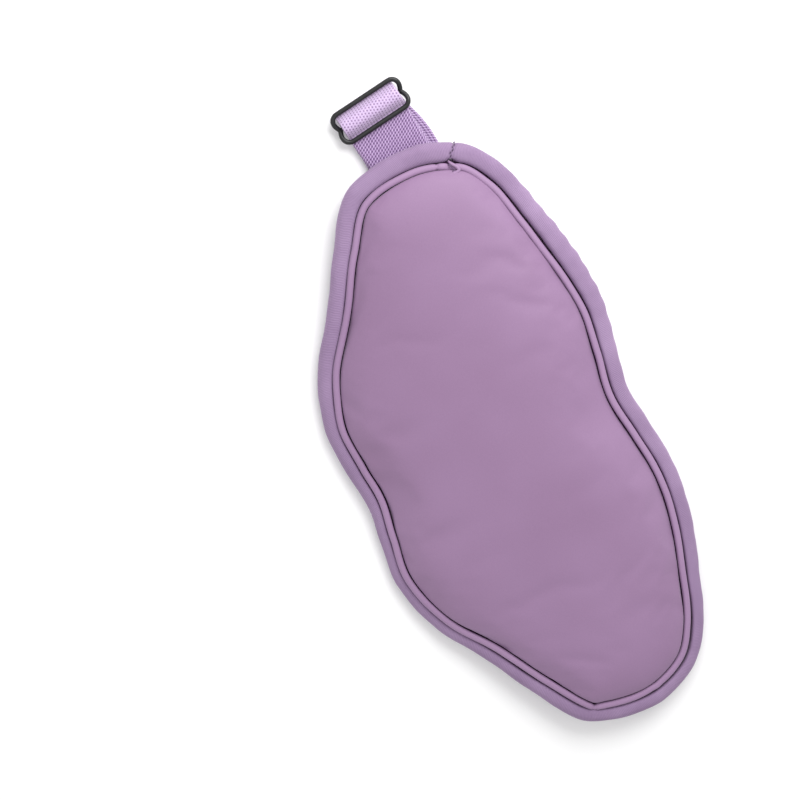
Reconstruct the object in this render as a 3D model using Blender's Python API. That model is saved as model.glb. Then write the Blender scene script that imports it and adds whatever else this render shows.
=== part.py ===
"""Padded eye mask with a piped and bound edge and an adjustable elastic strap.

The mask lies face up.  X runs along it, +Y is its forehead side and Z = 0 is the table.
It rests on its strap, which is folded under it, and arches down on both long sides.
"""

import math

import bmesh
import bpy
import numpy as np

MM = 0.001

# ---- overall size ------------------------------------------------------------
MASK_LENGTH = 202 * MM
MASK_WIDTH = 99.8 * MM
STATIONS = 52

# ---- edge: rolled binding, piping and threads ----------------------------------
BINDING_RADIUS = 2.8 * MM
BINDING_WALL = 0.8 * MM
BINDING_CORD_CLEARANCE = 0.7 * MM
BINDING_CORD_SHIFT = 0.2 * MM
PIPING_RADIUS = 1.1 * MM
PIPING_WALL = 0.35 * MM
PIPING_SLOT_ANGLE = math.radians(35)
THREAD_RADIUS = 0.2 * MM
JOIN_ANGLE = math.radians(166)
JOIN_STITCH_ANGLES = np.radians(np.arange(-10, 120, 13))
STITCH = 0.4 * MM
STITCH_SWING = 0.8 * MM

# ---- layers --------------------------------------------------------------------
GAP = 0.3 * MM
COVER_THICK = 0.5 * MM
LINING_THICK = 0.3 * MM
WADDING_THICK = 2.0 * MM
FRONT_RISE = 8.5 * MM
FRONT_SHOULDER = 5.9 * MM
SHOULDER_SLOPE = 1.1 * MM
FRONT_RIM_RISE = 4.0 * MM
FRONT_RIM_IN = 1.2 * MM
FOAM_RIM_IN = 0.9 * MM
BACK_DROP = 2.8 * MM
BACK_RIM_IN = 2.0 * MM
LINING_SPREAD = 0.2 * MM
BACK_SPREAD = 0.3 * MM
HEM_IN_BINDING = 0.5 * MM

# ---- strap and slider ------------------------------------------------------------
STRAP_WIDTH = 21.4 * MM
STRAP_THICK = 0.8 * MM
STRAP_YAW = math.radians(9)
STRAP_EXIT = (-MASK_LENGTH / 2, 6.0 * MM)
STRAP_END_Y = 6.5 * MM
SLIDER_LENGTH = 11.4 * MM
SLIDER_BAR = 1.5 * MM
SLIDER_THICK = 1.4 * MM
SLIDER_REACH = 15.2 * MM
SLIDER_SIDE_GAP = 0.35 * MM
SLIDER_WAIST = 0.4 * MM
SLIDER_CORNER = 2.4 * MM
SEWN_END_LENGTH = 9 * MM
ANCHOR_LENGTH = 17 * MM
ANCHOR_CLEARANCE = 0.45 * MM
ANCHOR_SEAM_IN = 13.4 * MM
KEEPER_WIDTH = 8 * MM
KEEPER_X = MASK_LENGTH / 2 - 16 * MM
KEEPER_SEWN_LENGTH = 6 * MM
KEEPER_BEND_OUT = 2.0 * MM
KEEPER_BEND_IN = 1.5 * MM
LOWER_LAYER_SHIFT = 2.0 * MM
LEAD_IN_LENGTH = 6 * MM
LOOP_SHIFT = 0.1 * MM
KEEPER_LIFT = 0.05 * MM
ANCHOR_STITCHES = 14
ANCHOR_SEAM_MARGIN = 1.5 * MM

# ---- heights worked out from the strap's layers ------------------------------------
LAYER = STRAP_THICK + GAP
LOW_Z = STRAP_THICK / 2
MIDDLE_Z = LOW_Z + LAYER
HIGH_Z = MIDDLE_Z + LAYER
TIP_CLEARANCE = 1.35 * MM
RIDGE_Z = HIGH_Z + STRAP_THICK / 2 + TIP_CLEARANCE + BINDING_RADIUS
EDGE_CLEARANCE = 0.1 * MM
ANCHOR_RISE = RIDGE_Z - BACK_DROP - ANCHOR_CLEARANCE - STRAP_THICK / 2 - HIGH_Z

# ---- seam positions: n is measured outwards from the outer edge, h up from the mid surface ----
BINDING_N = -BINDING_RADIUS
HEM_N = BINDING_N - BINDING_RADIUS + BINDING_WALL + HEM_IN_BINDING
FRONT_HEM_H = GAP / 2 + LINING_THICK / 2 + GAP + COVER_THICK / 2
BACK_HEM_H = -FRONT_HEM_H
HEM_TOP = FRONT_HEM_H + COVER_THICK / 2
BINDING_SLOT_ANGLE = math.asin((HEM_TOP + GAP) / (BINDING_RADIUS - BINDING_WALL))
THREAD_FRONT_H = HEM_TOP + GAP + THREAD_RADIUS
THREAD_BACK_H = -THREAD_FRONT_H
PIPING_H = HEM_TOP + GAP + PIPING_RADIUS


def beside(height, radius_sum):
    """How far apart two round edges stand along n when one is height above the other's centre."""
    return math.sqrt(max(radius_sum**2 - height**2, 0.0))


THREAD_N = BINDING_N - beside(THREAD_FRONT_H, BINDING_RADIUS + THREAD_RADIUS + GAP)
PIPING_TO_THREAD = beside(PIPING_H - THREAD_FRONT_H, PIPING_RADIUS + THREAD_RADIUS + GAP)
PIPING_N = THREAD_N - PIPING_TO_THREAD
PIPING_THREAD_N = PIPING_N - PIPING_TO_THREAD
PANEL_N = PIPING_THREAD_N - THREAD_RADIUS - GAP

# Right half of the outer edge, from the forehead side's middle round to the nose side's,
# as shares of the mask's half length and of its width.
OUTLINE = [
    (0.00, 0.437),
    (0.14, 0.457),
    (0.30, 0.477),
    (0.48, 0.459),
    (0.66, 0.411),
    (0.82, 0.357),
    (0.94, 0.262),
    (1.00, 0.080),
    (0.955, -0.135),
    (0.80, -0.256),
    (0.62, -0.361),
    (0.46, -0.467),
    (0.28, -0.523),
    (0.12, -0.515),
    (0.00, -0.501),
]


# ---- curves ------------------------------------------------------------------------
def smooth_through(points, per_span, closed):
    """Catmull-Rom points through the given ones."""
    points = np.asarray(points, float)
    count = len(points)
    out = []
    for i in range(count if closed else count - 1):
        if closed:
            p0, p1, p2, p3 = (points[(i + k) % count] for k in (-1, 0, 1, 2))
        else:
            p0, p1 = points[max(i - 1, 0)], points[i]
            p2, p3 = points[i + 1], points[min(i + 2, count - 1)]
        for step in range(per_span):
            t = step / per_span
            out.append(
                0.5
                * (
                    2 * p1
                    + (p2 - p0) * t
                    + (2 * p0 - 5 * p1 + 4 * p2 - p3) * t**2
                    + (3 * p1 - p0 - 3 * p2 + p3) * t**3
                )
            )
    if not closed:
        out.append(points[-1])
    return np.array(out)


def evenly(points, count, closed):
    """The same curve with count points at even distances along it."""
    ring = np.vstack([points, points[:1]]) if closed else points
    run = np.r_[0, np.cumsum(np.linalg.norm(np.diff(ring, axis=0), axis=1))]
    at = np.linspace(0, run[-1], count + (1 if closed else 0))
    if closed:
        at = at[:-1]
    return np.stack([np.interp(at, run, ring[:, k]) for k in range(ring.shape[1])], axis=1)


def mask_outline():
    """Outer edge of the mask, anticlockwise, and its outward normals."""
    half = np.array(OUTLINE) * (MASK_LENGTH / 2, MASK_WIDTH)
    right = half[::-1]
    left = half[1:-1] * (-1, 1)
    edge = evenly(smooth_through(np.vstack([right, left]), 12, True), STATIONS, True)
    along = np.roll(edge, -1, axis=0) - np.roll(edge, 1, axis=0)
    along /= np.linalg.norm(along, axis=1)[:, None]
    return edge, np.stack([along[:, 1], -along[:, 0]], axis=1)


EDGE, NORMAL = mask_outline()
RIDGE_Y = (EDGE[:, 1].max() + EDGE[:, 1].min()) / 2
HALF_WIDTH = (EDGE[:, 1].max() - EDGE[:, 1].min()) / 2


def mid_surface(y):
    """Height of the mask's middle layer, an arch that brings its long edges down to the table."""
    fall = RIDGE_Z - BINDING_RADIUS - EDGE_CLEARANCE
    return RIDGE_Z - fall * ((y - RIDGE_Y) / (HALF_WIDTH - BINDING_RADIUS)) ** 2


def ring_at(n, h):
    """One ring of points that follows the edge, n outwards from it and h above the mid surface."""
    flat = EDGE + NORMAL * n
    return np.column_stack([flat, mid_surface(flat[:, 1]) + h])


# ---- objects --------------------------------------------------------------------------
def material(name, color, roughness, metallic=0.0):
    """A plain finish."""
    made = bpy.data.materials.new(name)
    made.use_nodes = True
    shader = made.node_tree.nodes["Principled BSDF"]
    shader.inputs["Base Color"].default_value = (*color, 1)
    shader.inputs["Roughness"].default_value = roughness
    shader.inputs["Metallic"].default_value = metallic
    return made


def add_object(name, bm, finish):
    """Links a closed mesh as a named sub-part with its faces pointing out."""
    bmesh.ops.recalc_face_normals(bm, faces=bm.faces)
    mesh = bpy.data.meshes.new(name)
    bm.to_mesh(mesh)
    bm.free()
    mesh.materials.append(finish)
    made = bpy.data.objects.new(name, mesh)
    bpy.context.scene.collection.objects.link(made)
    return made


def bridge(bm, first, second, closed=True):
    """Quads between two equally long rows of vertices."""
    count = len(first)
    for i in range(count if closed else count - 1):
        k = (i + 1) % count
        bm.faces.new((first[i], first[k], second[k], second[i]))


def edge_ring(name, profile, finish):
    """A closed solid that follows the mask's edge, from a loop of (n, h) points."""
    bm = bmesh.new()
    rows = [[bm.verts.new(p) for p in ring_at(n, h)] for n, h in profile]
    for first, second in zip(rows, rows[1:] + rows[:1]):
        bridge(bm, first, second)
    return add_object(name, bm, finish)


def round_profile(n, h, radius, sides):
    """The round section of a cord or a thread, centred at (n, h)."""
    turns = np.arange(sides) / sides * 2 * math.pi
    return [(n + radius * math.cos(a), h + radius * math.sin(a)) for a in turns]


def slit_tube_profile(n, h, radius, wall, slot_centre, slot_angle, sides):
    """A tube's wall that is open on one side, like a folded strip of cloth."""
    turns = np.linspace(slot_centre + slot_angle, slot_centre + 2 * math.pi - slot_angle, sides)
    outer = [(n + radius * math.cos(a), h + radius * math.sin(a)) for a in turns]
    inner_radius = radius - wall
    inner = [(n + inner_radius * math.cos(a), h + inner_radius * math.sin(a)) for a in turns]
    return outer + inner[::-1]


# Shares of the way from the panel's edge to the mask's centre at which the domes have a ring.
DOME_SHARES = (0.06, 0.16, 0.42, 0.72)


def dome_rows(hem, inside):
    """Rings of a domed sheet: hem is a list of (n, h), inside one height for each dome share,
    and the last height is the centre's."""
    rows = [ring_at(n, h) for n, h in hem]
    last = rows[-1]
    centre = np.array([0.0, RIDGE_Y])
    for share, height in zip(DOME_SHARES, inside):
        flat = last[:, :2] + (centre - last[:, :2]) * share
        rows.append(np.column_stack([flat, mid_surface(flat[:, 1]) + height]))
    return rows, (*centre, mid_surface(RIDGE_Y) + inside[-1])


def dome_solid(name, top_hem, top_inside, bottom_hem, bottom_inside, finish):
    """A closed layer between an upper and a lower domed sheet, joined round the rim."""
    bm = bmesh.new()
    rims = []
    for hem, inside in ((top_hem, top_inside), (bottom_hem, bottom_inside)):
        rows, centre = dome_rows(hem, inside)
        rings = [[bm.verts.new(p) for p in row] for row in rows]
        for first, second in zip(rings, rings[1:]):
            bridge(bm, first, second)
        middle = bm.verts.new(centre)
        for i, vertex in enumerate(rings[-1]):
            bm.faces.new((vertex, rings[-1][(i + 1) % STATIONS], middle))
        rims.append(rings[0])
    bridge(bm, rims[0], rims[1])
    return add_object(name, bm, finish)


def strap_frame():
    """Outward direction of the strap and the direction across it, where it leaves the mask."""
    out = np.array([-math.cos(STRAP_YAW), -math.sin(STRAP_YAW), 0.0])
    return out, np.array([math.sin(STRAP_YAW), -math.cos(STRAP_YAW), 0.0])


OUT, ACROSS = strap_frame()
EXIT = np.array([*STRAP_EXIT, 0.0])


def on_strap(reach, side=0.0, height=0.0):
    """A point of the strap's own frame: reach outwards from the mask's tip."""
    return EXIT + OUT * reach + ACROSS * side + np.array([0, 0, height])


def ribbon(name, path, across, width, thick, finish):
    """A flat band of rectangular section along path; across is its direction at each point."""
    path, across = np.asarray(path, float), np.asarray(across, float)
    along = np.gradient(path, axis=0)
    along /= np.linalg.norm(along, axis=1)[:, None]
    up = np.cross(along, across)
    up /= np.linalg.norm(up, axis=1)[:, None]
    bm = bmesh.new()
    corners = []
    for s, u in ((1, 1), (1, -1), (-1, -1), (-1, 1)):
        row = path + across * (s * width / 2) + up * (u * thick / 2)
        corners.append([bm.verts.new(p) for p in row])
    for first, second in zip(corners, corners[1:] + corners[:1]):
        bridge(bm, first, second, closed=False)
    for end in (0, -1):
        bm.faces.new([row[end] for row in corners])
    return add_object(name, bm, finish)


def u_turn(centre_reach, low, high, outward, steps):
    """Half circle from the high level to the low one, as (reach, height) pairs."""
    radius, middle = (high - low) / 2, (high + low) / 2
    turns = np.linspace(math.pi / 2, -math.pi / 2, steps)
    return [(centre_reach + outward * radius * math.cos(a), middle + radius * math.sin(a)) for a in turns]


# ---- the mask's soft body ------------------------------------------------------------
def build_front_cover(finish):
    """The outer satin: a hem under the piping, a steep wall inside it, and the dome."""
    thick = COVER_THICK / 2
    climb = [
        (PANEL_N, FRONT_HEM_H),
        (PANEL_N - 0.42 * FRONT_RIM_IN, 0.55 * FRONT_RIM_RISE),
        (PANEL_N - FRONT_RIM_IN, FRONT_RIM_RISE),
    ]
    top = [(HEM_N, FRONT_HEM_H + thick), (climb[0][0], climb[0][1] + thick), *climb[1:]]
    under = [
        (HEM_N, FRONT_HEM_H - thick),
        (climb[0][0] - COVER_THICK, climb[0][1] - thick),
        *[(n - COVER_THICK, h - thick) for n, h in climb[1:]],
    ]
    return dome_solid("front_cover", top, front_heights(0), under, front_heights(COVER_THICK), finish)


def front_heights(below):
    """Heights of the front panel's dome rings, lowered by below."""
    crown = FRONT_SHOULDER + (FRONT_RISE - FRONT_SHOULDER) * 0.75
    heights = np.array([FRONT_SHOULDER, FRONT_SHOULDER + SHOULDER_SLOPE, crown, FRONT_RISE])
    return list(heights - below)


def back_heights(above):
    """Heights of the back panel's dome rings, raised by above."""
    return list(-BACK_DROP * np.array([0.76, 0.9, 1.0, 1.0]) + above)


def build_wadding(finish):
    """Soft sheet under the front cover, thinner at its rim."""
    top = COVER_THICK + GAP
    rim_n = PANEL_N - top - FRONT_RIM_IN
    rim_h = FRONT_RIM_RISE - top - 0.1 * WADDING_THICK
    return dome_solid(
        "wadding",
        [(rim_n, rim_h)],
        front_heights(top),
        [(rim_n - 0.3 * WADDING_THICK, rim_h - 0.55 * WADDING_THICK)],
        front_heights(top + WADDING_THICK),
        finish,
    )


def build_foam_core(finish):
    """The filling between the wadding and the lining, blunt at its rim."""
    top = COVER_THICK + 2 * GAP + WADDING_THICK
    bottom = COVER_THICK + 2 * GAP + LINING_THICK
    rim_n = PANEL_N - COVER_THICK - GAP - FRONT_RIM_IN - FOAM_RIM_IN
    return dome_solid(
        "foam_core",
        [(rim_n, FOAM_RIM_IN)],
        front_heights(top),
        [(rim_n, LINING_THICK / 2 - GAP / 2)],
        back_heights(bottom),
        finish,
    )


def build_lining(finish):
    """The thin black sheet between the filling and the back, caught in the seam."""
    above = COVER_THICK + GAP
    thick = LINING_THICK / 2
    inner = (PANEL_N - BACK_RIM_IN, -0.32 * BACK_DROP)
    return dome_solid(
        "blackout_lining",
        [(HEM_N, thick), (PANEL_N, thick), (inner[0], inner[1] + thick)],
        back_heights(above + LINING_THICK),
        [(HEM_N, -thick), (PANEL_N + LINING_SPREAD, -thick), (inner[0] + LINING_SPREAD, inner[1] - thick)],
        back_heights(above),
        finish,
    )


def build_back_cover(finish):
    """The satin that lies on the eyes, nearly flat, caught in the same seam."""
    thick = COVER_THICK / 2
    inner = (PANEL_N - BACK_RIM_IN, -0.62 * BACK_DROP)
    return dome_solid(
        "back_cover",
        [
            (HEM_N, BACK_HEM_H + thick),
            (PANEL_N + BACK_RIM_IN / 2, BACK_HEM_H + thick),
            (inner[0], inner[1] + thick),
        ],
        back_heights(COVER_THICK),
        [
            (HEM_N, BACK_HEM_H - thick),
            (PANEL_N + 0.7 * BACK_RIM_IN, BACK_HEM_H - thick),
            (inner[0] + BACK_SPREAD, inner[1] - thick),
        ],
        back_heights(0),
        finish,
    )


def build_edge(cloth, cord, thread):
    """The rolled binding with its cord, the piping with its cord, and the threads that hold them."""
    binding = slit_tube_profile(
        BINDING_N, 0, BINDING_RADIUS, BINDING_WALL, math.pi, BINDING_SLOT_ANGLE, 9
    )
    edge_ring("edge_binding", binding, cloth)
    cord_n = BINDING_N + BINDING_CORD_SHIFT
    cord_radius = BINDING_RADIUS - BINDING_WALL - BINDING_CORD_CLEARANCE
    edge_ring("binding_cord", round_profile(cord_n, 0, cord_radius, 6), cord)
    sleeve = slit_tube_profile(
        PIPING_N, PIPING_H, PIPING_RADIUS, PIPING_WALL, -math.pi / 2, PIPING_SLOT_ANGLE, 7
    )
    edge_ring("piping_sleeve", sleeve, cloth)
    piping_cord_radius = PIPING_RADIUS - PIPING_WALL - GAP
    edge_ring("piping_cord", round_profile(PIPING_N, PIPING_H, piping_cord_radius, 5), cord)
    threads = {
        "binding_thread_front": (THREAD_N, THREAD_FRONT_H),
        "binding_thread_back": (THREAD_N, THREAD_BACK_H),
        "piping_thread": (PIPING_THREAD_N, THREAD_FRONT_H),
    }
    for name, (n, h) in threads.items():
        edge_ring(name, round_profile(n, h, THREAD_RADIUS, 4), thread)


def zigzag(name, path, across, finish):
    """One thread of square section that zigzags along path, seen square on from across."""
    ribbon(name, path, across, STITCH, STITCH, finish)


def build_join_thread(finish):
    """The stitches that close the binding's two ends, zigzagging over its roll."""
    station = int(np.argmin(np.abs(np.arctan2(EDGE[:, 1], EDGE[:, 0]) - JOIN_ANGLE)))
    flat = EDGE[station] + NORMAL[station] * BINDING_N
    centre = np.array([*flat, mid_surface(flat[1])])
    outward = np.array([*NORMAL[station], 0.0])
    along = np.array([-NORMAL[station][1], NORMAL[station][0], 0.0])
    up = np.array([0.0, 0.0, 1.0])
    ring_radius = BINDING_RADIUS + 2 * GAP
    path, across = [], []
    for i, angle in enumerate(JOIN_STITCH_ANGLES):
        radial = outward * math.cos(angle) + up * math.sin(angle)
        path.append(centre + radial * ring_radius + along * (STITCH_SWING * (-1) ** i))
        across.append(radial)
    zigzag("binding_join_thread", path, across, finish)


# ---- the strap ---------------------------------------------------------------------------
SLIDER_IN = SLIDER_REACH - SLIDER_LENGTH / 2
SLIDER_OUT = SLIDER_REACH + SLIDER_LENGTH / 2
BAR_Z = HIGH_Z + STRAP_THICK / 2 + GAP + SLIDER_THICK / 2
CENTRE_BAR_Z = MIDDLE_Z + STRAP_THICK / 2 + GAP + SLIDER_THICK / 2
LOOP_TOP_Z = CENTRE_BAR_Z + SLIDER_THICK / 2 + GAP + STRAP_THICK / 2
CROSSING_Z = LOOP_TOP_Z + LAYER
FOLD_REACH = SLIDER_OUT - (HIGH_Z - LOW_Z) / 2 - STRAP_THICK / 2
TURN_TAIL = 1.5 * MM


def straight_across(path):
    """The strap's own cross direction at every point of a path."""
    return np.tile(ACROSS, (len(path), 1))


def build_anchored_run(finish):
    """The strap's end that is sewn under the mask's tip, out to the slider's near bar."""
    shape = [
        (-ANCHOR_LENGTH, HIGH_Z + 0.3 * ANCHOR_RISE),
        (-0.85 * ANCHOR_LENGTH, HIGH_Z + ANCHOR_RISE),
        (-0.70 * ANCHOR_LENGTH, HIGH_Z + ANCHOR_RISE),
        (-0.53 * ANCHOR_LENGTH, HIGH_Z),
        (-0.26 * ANCHOR_LENGTH, HIGH_Z),
        (0.0, HIGH_Z),
        (SLIDER_IN - GAP, HIGH_Z),
    ]
    path = [on_strap(r, 0, z) for r, z in smooth_through(shape, 3, False)]
    return ribbon("strap_anchored_run", path, straight_across(path), STRAP_WIDTH, STRAP_THICK, finish)


def build_slider_turn(finish):
    """Under the near bar, over the middle bar, under the far bar, then folded down to the table."""
    middle = SLIDER_REACH
    bar_edge = SLIDER_LENGTH / 2 - SLIDER_BAR
    climb = [
        (SLIDER_LENGTH / 2, HIGH_Z),
        (bar_edge + 0.1 * MM, HIGH_Z),
        (bar_edge - 0.6 * MM, HIGH_Z + 0.15 * MM),
        (bar_edge - 1.6 * MM, (HIGH_Z + CROSSING_Z) / 2),
        (bar_edge - 3.1 * MM, CROSSING_Z),
    ]
    over = [(middle - d, z) for d, z in climb] + [(middle + d, z) for d, z in climb[:0:-1]]
    shape = [tuple(point) for point in smooth_through(over, 3, False)]
    shape += u_turn(FOLD_REACH, LOW_Z, HIGH_Z, 1, 7)[1:]
    shape.append((FOLD_REACH - TURN_TAIL, LOW_Z))
    path = [on_strap(r, 0, z) for r, z in shape]
    return ribbon("strap_slider_turn", path, straight_across(path), STRAP_WIDTH, STRAP_THICK, finish)


def build_sewn_end(finish):
    """The strap's other end, folded round the slider's middle bar."""
    middle = SLIDER_REACH
    tip = middle - SLIDER_BAR / 2 - GAP
    turn = u_turn(middle + LOOP_SHIFT, MIDDLE_Z, LOOP_TOP_Z, 1, 7)
    shape = [(tip, LOOP_TOP_Z), *turn, (middle - SEWN_END_LENGTH, MIDDLE_Z)]
    path = [on_strap(r, 0, z) for r, z in shape]
    return ribbon("strap_sewn_end", path, straight_across(path), STRAP_WIDTH, STRAP_THICK, finish)


def long_run_route():
    """Plan points (x, y, heading in degrees) of the strap's two layers under the mask."""
    start = on_strap(FOLD_REACH - TURN_TAIL - GAP)
    inner = on_strap(SLIDER_REACH - SEWN_END_LENGTH - GAP)
    lead_in = on_strap(SLIDER_REACH - SEWN_END_LENGTH - GAP - LEAD_IN_LENGTH)
    yaw = math.degrees(STRAP_YAW)
    shift = LOWER_LAYER_SHIFT
    lower = [
        (start[0], start[1], yaw),
        (start[0] + LEAD_IN_LENGTH, start[1] + 1.1 * shift, yaw + 5),
        (STRAP_EXIT[0], STRAP_EXIT[1] + shift, yaw),
        (-0.40 * MASK_LENGTH, STRAP_EXIT[1] + 1.77 * shift, 3),
        (-0.20 * MASK_LENGTH, STRAP_EXIT[1] + 1.54 * shift, -2),
        (0.05 * MASK_LENGTH, STRAP_END_Y + 0.58 * shift, -2),
        (0.30 * MASK_LENGTH, STRAP_END_Y, 0),
        (KEEPER_X, STRAP_END_Y, 0),
    ]
    upper = [
        (KEEPER_X, STRAP_END_Y, 0),
        (0.30 * MASK_LENGTH, STRAP_END_Y, 0),
        (0.05 * MASK_LENGTH, STRAP_END_Y + 0.31 * shift, 0),
        (-0.20 * MASK_LENGTH, STRAP_EXIT[1] + 1.15 * shift, 1),
        (-0.40 * MASK_LENGTH, STRAP_EXIT[1] + shift, yaw * 0.8),
        (lead_in[0], lead_in[1], yaw),
        (inner[0], inner[1], yaw),
    ]
    return lower, upper


def build_long_run(finish):
    """Both long layers under the mask, joined by the turn round the keeper loop."""
    lower, upper = (smooth_through(route, 4, False) for route in long_run_route())
    turn_x = KEEPER_X + KEEPER_WIDTH / 2 + GAP
    over_keeper = HIGH_Z + KEEPER_LIFT
    descent = KEEPER_WIDTH * 1.1
    path, headings = [], []
    for x, y, yaw in lower:
        path.append((x, y, LOW_Z))
        headings.append(yaw)
    for reach, z in u_turn(turn_x, LOW_Z, over_keeper, 1, 7)[::-1]:
        path.append((reach, STRAP_END_Y, z))
        headings.append(0)
    start_down = KEEPER_X - KEEPER_WIDTH / 2 - GAP
    for share in (0.0, 0.33, 0.67):
        ease = share * share * (3 - 2 * share)
        drop = (over_keeper - MIDDLE_Z) * ease
        path.append((start_down - descent * share, STRAP_END_Y, over_keeper - drop))
        headings.append(0)
    for x, y, yaw in upper:
        if x < start_down - descent:
            path.append((x, y, MIDDLE_Z))
            headings.append(yaw)
    turns = np.radians(headings)
    across = np.column_stack([np.sin(turns), -np.cos(turns), np.zeros(len(turns))])
    return ribbon("strap_long_run", path, across, STRAP_WIDTH, STRAP_THICK, finish)


def build_keeper(finish):
    """Short cloth band across the right tip, sewn down at both ends, which the strap turns round."""
    half = STRAP_WIDTH / 2 + GAP + STRAP_THICK
    end = half + KEEPER_SEWN_LENGTH
    under_cover = BACK_DROP + 2 * GAP + STRAP_THICK / 2
    left_z, right_z = (mid_surface(STRAP_END_Y + side * end) - under_cover for side in (-1, 1))
    shape = [
        (-end, left_z),
        (-half - KEEPER_BEND_OUT, left_z * 0.75 + MIDDLE_Z * 0.25),
        (-half + KEEPER_BEND_IN, MIDDLE_Z),
        (half - KEEPER_BEND_IN, MIDDLE_Z),
        (half + KEEPER_BEND_OUT, right_z * 0.75 + MIDDLE_Z * 0.25),
        (end, right_z),
    ]
    path = [(KEEPER_X, STRAP_END_Y + side, z) for side, z in shape]
    across = np.tile((1.0, 0.0, 0.0), (len(path), 1))
    return ribbon("keeper_band", path, across, KEEPER_WIDTH, STRAP_THICK * 0.8, finish)


def slider_outline():
    """Centre line of the slider's frame in plan: a rounded figure that is drawn in at its waist."""
    wide = STRAP_WIDTH / 2 + SLIDER_SIDE_GAP + SLIDER_WAIST + SLIDER_BAR / 2
    long = (SLIDER_LENGTH - SLIDER_BAR) / 2
    quarter = [(0.0, wide - SLIDER_WAIST), (0.25 * long, wide - 0.6 * SLIDER_WAIST)]
    for turn in np.radians([90, 60, 30, 0]):
        corner = (long - SLIDER_CORNER, wide - SLIDER_CORNER)
        quarter.append(
            (corner[0] + SLIDER_CORNER * math.cos(turn), corner[1] + SLIDER_CORNER * math.sin(turn))
        )
    half = quarter + [(r, -side) for r, side in quarter[::-1]]
    return np.array(half + [(-r, side) for r, side in half[-2:0:-1]])


def build_slider(finish):
    """Three-bar slider: its middle bar lies lower, so both sides of the frame dip to meet it."""
    outline = slider_outline()
    along = np.roll(outline, -1, axis=0) - np.roll(outline, 1, axis=0)
    along /= np.linalg.norm(along, axis=1)[:, None]
    outward = np.stack([-along[:, 1], along[:, 0]], axis=1)
    turns = 2 * math.pi * (np.arange(8) + 0.5) / 8
    section = np.column_stack([SLIDER_BAR / 2 * np.cos(turns), SLIDER_THICK / 2 * np.sin(turns)])
    straight = (SLIDER_LENGTH - SLIDER_BAR) / 2 - 0.5 * SLIDER_CORNER
    bm = bmesh.new()
    rows = []
    for (reach, side), normal in zip(outline, outward):
        dip = (BAR_Z - CENTRE_BAR_Z) * max(0.0, 1 - abs(reach) / straight)
        rows.append(
            [
                bm.verts.new(
                    on_strap(SLIDER_REACH + reach + normal[0] * n, side + normal[1] * n, BAR_Z - dip + h)
                )
                for n, h in section
            ]
        )
    for first, second in zip(rows, rows[1:] + rows[:1]):
        bridge(bm, first, second)
    frame = add_object("slider_frame", bm, finish)

    bm = bmesh.new()
    bar_half = STRAP_WIDTH / 2 + SLIDER_SIDE_GAP + 0.6 * SLIDER_BAR
    ends = [
        [bm.verts.new(on_strap(SLIDER_REACH + n, side, CENTRE_BAR_Z + 0.9 * h)) for n, h in section]
        for side in (-bar_half, bar_half)
    ]
    bridge(bm, ends[0], ends[1])
    for ring in ends:
        bm.faces.new(ring)
    bar = add_object("slider_middle_bar", bm, finish)
    bar.hide_render = True
    bar.display_type = "WIRE"
    union = frame.modifiers.new("middle_bar", "BOOLEAN")
    union.operation = "UNION"
    union.solver = "EXACT"
    union.object = bar


def build_anchor_thread(finish):
    """The zigzag that sews the strap's end to the mask's back, just under the strap."""
    span = STRAP_WIDTH / 2 - ANCHOR_SEAM_MARGIN
    low = HIGH_Z + ANCHOR_RISE - STRAP_THICK / 2 - GAP - STITCH / 2
    path = [
        on_strap(STITCH_SWING * (-1) ** i - ANCHOR_SEAM_IN, side, low)
        for i, side in enumerate(np.linspace(-span, span, ANCHOR_STITCHES))
    ]
    zigzag("strap_anchor_thread", path, np.tile((0.0, 0.0, 1.0), (len(path), 1)), finish)


# ---- build ---------------------------------------------------------------------------------
def main():
    """Clears the file and builds every sub-part."""
    for leftover in list(bpy.data.objects):
        bpy.data.objects.remove(leftover, do_unlink=True)
    lilac = material("lilac_cloth", (0.50, 0.33, 0.56), 0.75)
    lilac_knit = material("lilac_knit_tape", (0.56, 0.42, 0.66), 0.8)
    elastic = material("lilac_elastic", (0.46, 0.32, 0.62), 0.8)
    thread = material("lilac_thread", (0.42, 0.27, 0.48), 0.7)
    white_fill = material("white_fill", (0.85, 0.84, 0.82), 0.9)
    black_knit = material("black_lining", (0.02, 0.02, 0.025), 0.9)
    black_coat = material("black_coated_metal", (0.03, 0.03, 0.035), 0.35, 0.4)

    build_front_cover(lilac)
    build_wadding(white_fill)
    build_foam_core(white_fill)
    build_lining(black_knit)
    build_back_cover(lilac)
    build_edge(lilac_knit, white_fill, thread)
    build_join_thread(thread)
    build_anchored_run(elastic)
    build_slider_turn(elastic)
    build_sewn_end(elastic)
    build_long_run(elastic)
    build_keeper(elastic)
    build_slider(black_coat)
    build_anchor_thread(thread)


main()
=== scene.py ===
import math

import bmesh
import bpy
import numpy as np
from mathutils import Matrix, Vector
from mathutils.geometry import delaunay_2d_cdt


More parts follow.
